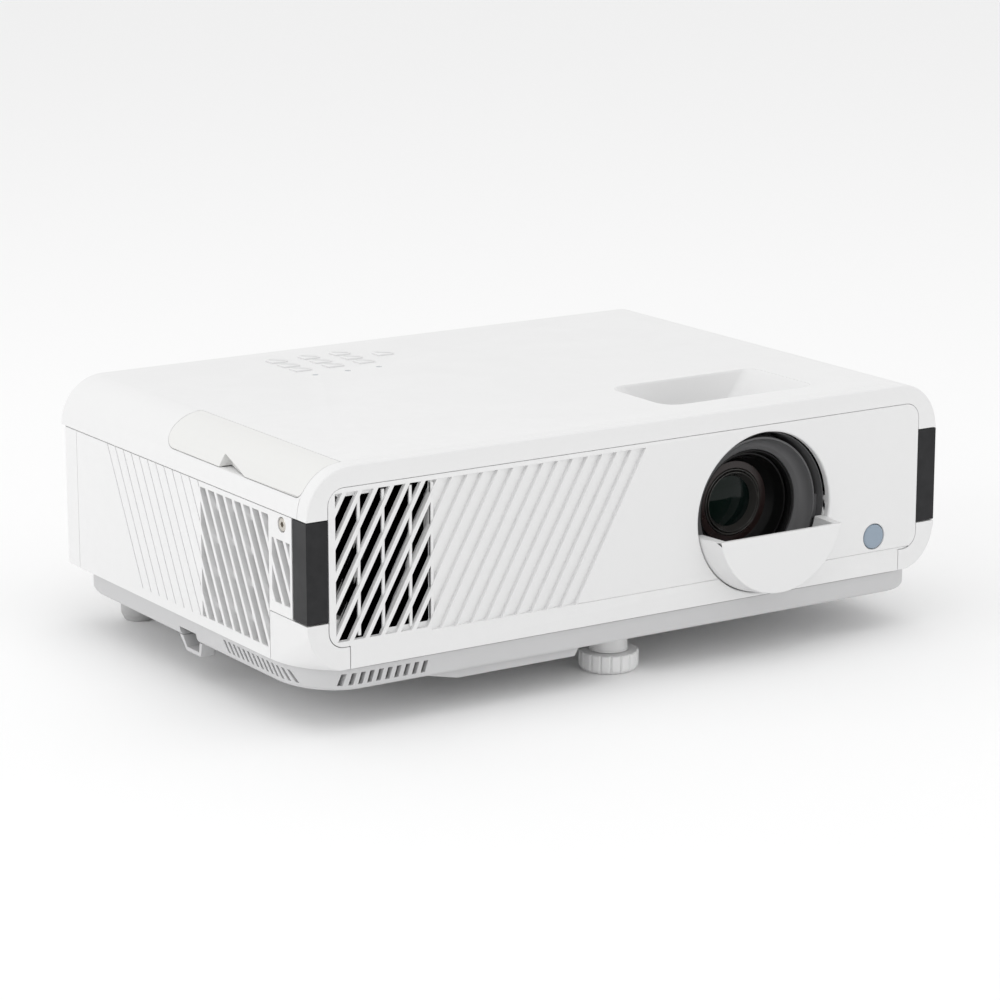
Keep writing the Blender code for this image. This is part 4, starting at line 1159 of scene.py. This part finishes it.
def make_mains_inlet():
    """The inlet's flange with a screw at each end, its body and its three pins."""
    low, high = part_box("ac_inlet")
    x, z = -0.118, 0.048
    left, right, bottom, top = x - 0.0138, x + 0.0138, z - 0.010, z + 0.010
    flange = prism("ac_inlet_body", filleted(rectangle(low.x, low.z, high.x, high.z), 0.0010, 4),
                   "y", high.y - 0.0026, high.y - 0.0004)
    body = prism("body", filleted(rectangle(left, bottom, right, top), 0.0012, 4), "y", low.y, high.y)
    weld(flange, body)
    shape = filleted(rectangle(left + 0.0018, bottom + 0.0016, right - 0.0018, top - 0.0016),
                     [0.001, 0.001, 0.005, 0.005], 4)
    cut(flange, prism("cavity", shape, "y", low.y + 0.003, high.y + 0.01))
    soften(flange, 0.0002, 2)
    finished(flange, "housing", "lens_black", "ac_inlet")
    metal = []
    for dx, dz in ((-0.007, -0.001), (0.0, 0.0030), (0.007, -0.001)):
        pin = block("pin", (x + dx - 0.001, low.y + 0.002, z + dz - 0.002), (x + dx + 0.001, high.y - 0.006, z + dz + 0.002))
        soften(pin, 0.0004, 2)
        metal.append(pin)
    for dx in (-0.0190, 0.0190):
        face = high.y - 0.0004
        head = turned("screw", [(0, face + 0.0006), (0.0014, face + 0.0006), (0.0024, face - 0.0001), (0, face - 0.0001)],
                      "y", (x + dx, z), 32)
        slot = block("slot", (x + dx - 0.0018, face + 0.0002, z - 0.0003), (x + dx + 0.0018, face + 0.001, z + 0.0003))
        cut(head, slot)
        metal.append(head)
    finished(gathered("ac_inlet_pins", metal), "housing", "steel")


def make_sockets():
    make_mains_inlet()
    for node in ("hdmi_port_1", "hdmi_port_2"):
        low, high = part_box(node)
        outline = [(low.x + 0.0022, low.z), (high.x - 0.0022, low.z), (high.x, low.z + 0.0024), (high.x, high.z),
                   (low.x, high.z), (low.x, low.z + 0.0024)]
        inner = [(low.x + 0.0032, low.z + 0.0013), (high.x - 0.0032, low.z + 0.0013), (high.x - 0.0013, low.z + 0.0032),
                 (high.x - 0.0013, high.z - 0.0013), (low.x + 0.0013, high.z - 0.0013), (low.x + 0.0013, low.z + 0.0032)]
        shell = prism(f"{node}_shell", filleted(outline, 0.0006, 3), "y", low.y, high.y)
        cut(shell, prism("cavity", filleted(inner, 0.0004, 3), "y", low.y + 0.002, high.y + 0.01))
        soften(shell, 0.00012, 1)
        finished(shell, "housing", "steel", node)
        tongue = block(f"{node}_tongue", (low.x + 0.0042, low.y + 0.001, (low.z + high.z) / 2 - 0.0004),
                       (high.x - 0.0042, high.y - 0.0015, (low.z + high.z) / 2 + 0.0008))
        soften(tongue, 0.00015, 1)
        finished(tongue, "housing", "lens_black")
    low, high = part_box("usb_port")
    shell = prism("usb_port_shell", filleted(rectangle(low.x, low.z, high.x, high.z), 0.0005, 3), "y", low.y, high.y)
    cut(shell, block("cavity", (low.x + 0.0012, low.y + 0.002, low.z + 0.0012), (high.x - 0.0012, 0.12, high.z - 0.0012)))
    soften(shell, 0.00012, 1)
    finished(shell, "housing", "steel", "usb_port")
    tongue = block("usb_port_tongue", (low.x + 0.0022, low.y + 0.001, high.z - 0.0036),
                   (high.x - 0.0022, high.y - 0.0015, high.z - 0.0018))
    soften(tongue, 0.00015, 1)
    finished(tongue, "housing", "lens_black")
    for node in ("audio_in_jack", "audio_out_jack"):
        low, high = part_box(node)
        middle = (low + high) / 2
        outline = filleted([(0.0018, high.y - 0.0005), (0.0022, high.y), (0.0036, high.y), (0.0036, low.y),
                            (0.0, low.y), (0.0, low.y + 0.002), (0.0018, low.y + 0.002)],
                           [0, 0.0002, 0.0004, 0, 0, 0, 0], 3)
        jack = turned(f"{node}_sleeve", outline, "y", (middle.x, middle.z), 40)
        finished(jack, "housing", "lens_black", node)


def make_underside():
    """Threaded inserts for a ceiling bracket."""
    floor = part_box("base_tray")[0].z + 0.0042
    inserts = []
    for x, y in ((-0.075, 0.060), (0.075, 0.060), (0.060, -0.050)):
        outline = [(0.0020, floor - 0.0004), (0.0034, floor - 0.0004), (0.0036, floor - 0.0001), (0.0036, floor + 0.004),
                   (0.0020, floor + 0.004)]
        inserts.append(turned("insert", outline, "z", (x, y), 32))
    finished(gathered("ceiling_mount_inserts", inserts), "housing", "steel")


# ---------------------------------------------------------------- inner pieces


INNER = {
    "cast_metal": ("optical_engine", "chip_heat_sink", "colour_wheel_motor"),
    "board_green": ("imaging_board", "main_board", "keypad_board", "power_board"),
    "shroud_grey": ("lamp_module",),
    "satin_black": ("speaker", "exhaust_fan_frame", "exhaust_fan_rotor", "intake_fan_frame", "intake_fan_rotor"),
    "lens_black": ("zoom_lens_group",),
    "steel": ("colour_wheel",),
}


def paint_inner_pieces():
    for slot, nodes in INNER.items():
        for node in nodes:
            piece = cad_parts[node]
            piece.data.materials.clear()
            piece.data.materials.append(SURFACES[slot])


# ---------------------------------------------------------------- room


def make_room():
    bpy.ops.object.select_all(action="DESELECT")
    bpy.ops.mesh.primitive_plane_add(size=14.0, location=(0, 2.0, 0))
    floor = named("studio_floor")
    material = bpy.data.materials.new("studio_paper")
    material.use_nodes = True
    shader = material.node_tree.nodes["Principled BSDF"]
    shader.inputs["Base Color"].default_value = (0.95, 0.95, 0.95, 1.0)
    shader.inputs["Roughness"].default_value = 0.9
    floor.data.materials.append(material)
    world = bpy.data.worlds.new("studio")
    world.use_nodes = True
    background = world.node_tree.nodes["Background"]
    background.inputs["Color"].default_value = (1.0, 1.0, 1.0, 1.0)
    background.inputs["Strength"].default_value = 0.90
    bpy.context.scene.world = world
    bpy.context.scene.view_settings.view_transform = "Standard"
    target = Vector((0, 0, 0.05))
    for name, place, size, power in (
        ("overhead_softbox", (-0.1, -0.3, 1.7), 1.6, 4.0),
        ("front_softbox", (0.5, -1.9, 0.9), 1.4, 1.5),
        ("left_softbox", (-1.7, 0.2, 0.7), 1.0, 4.5),
    ):
        light = bpy.data.lights.new(name, "AREA")
        light.shape = "SQUARE"
        light.size = size
        light.energy = power
        lamp = bpy.data.objects.new(name, light)
        lamp.location = place
        lamp.rotation_euler = (target - Vector(place)).to_track_quat("-Z", "Y").to_euler()
        bpy.context.scene.collection.objects.link(lamp)
    camera = bpy.data.cameras.new("camera")
    camera.lens = 125.01
    camera.sensor_width = 36.0
    viewer = bpy.data.objects.new("camera", camera)
    viewer.location = (-0.79637, -1.21510, 0.41089)
    aim = Vector((0.53112, 0.81335, -0.23742))
    viewer.rotation_euler = aim.to_track_quat("-Z", "Y").to_euler()
    bpy.context.scene.collection.objects.link(viewer)
    bpy.context.scene.camera = viewer


make_room()
make_top_cover()
make_well()
make_front_bezel()
make_front_panel()
make_side_panels()
make_inserts()
make_base()
make_lamp_door()
make_screw()
make_keys()
make_lip()
make_shroud()
make_barrel()
make_front_cell()
make_rings()
make_feet()
make_window()
make_rear_panel()
make_socket_plate()
make_sockets()
make_underside()
paint_inner_pieces()
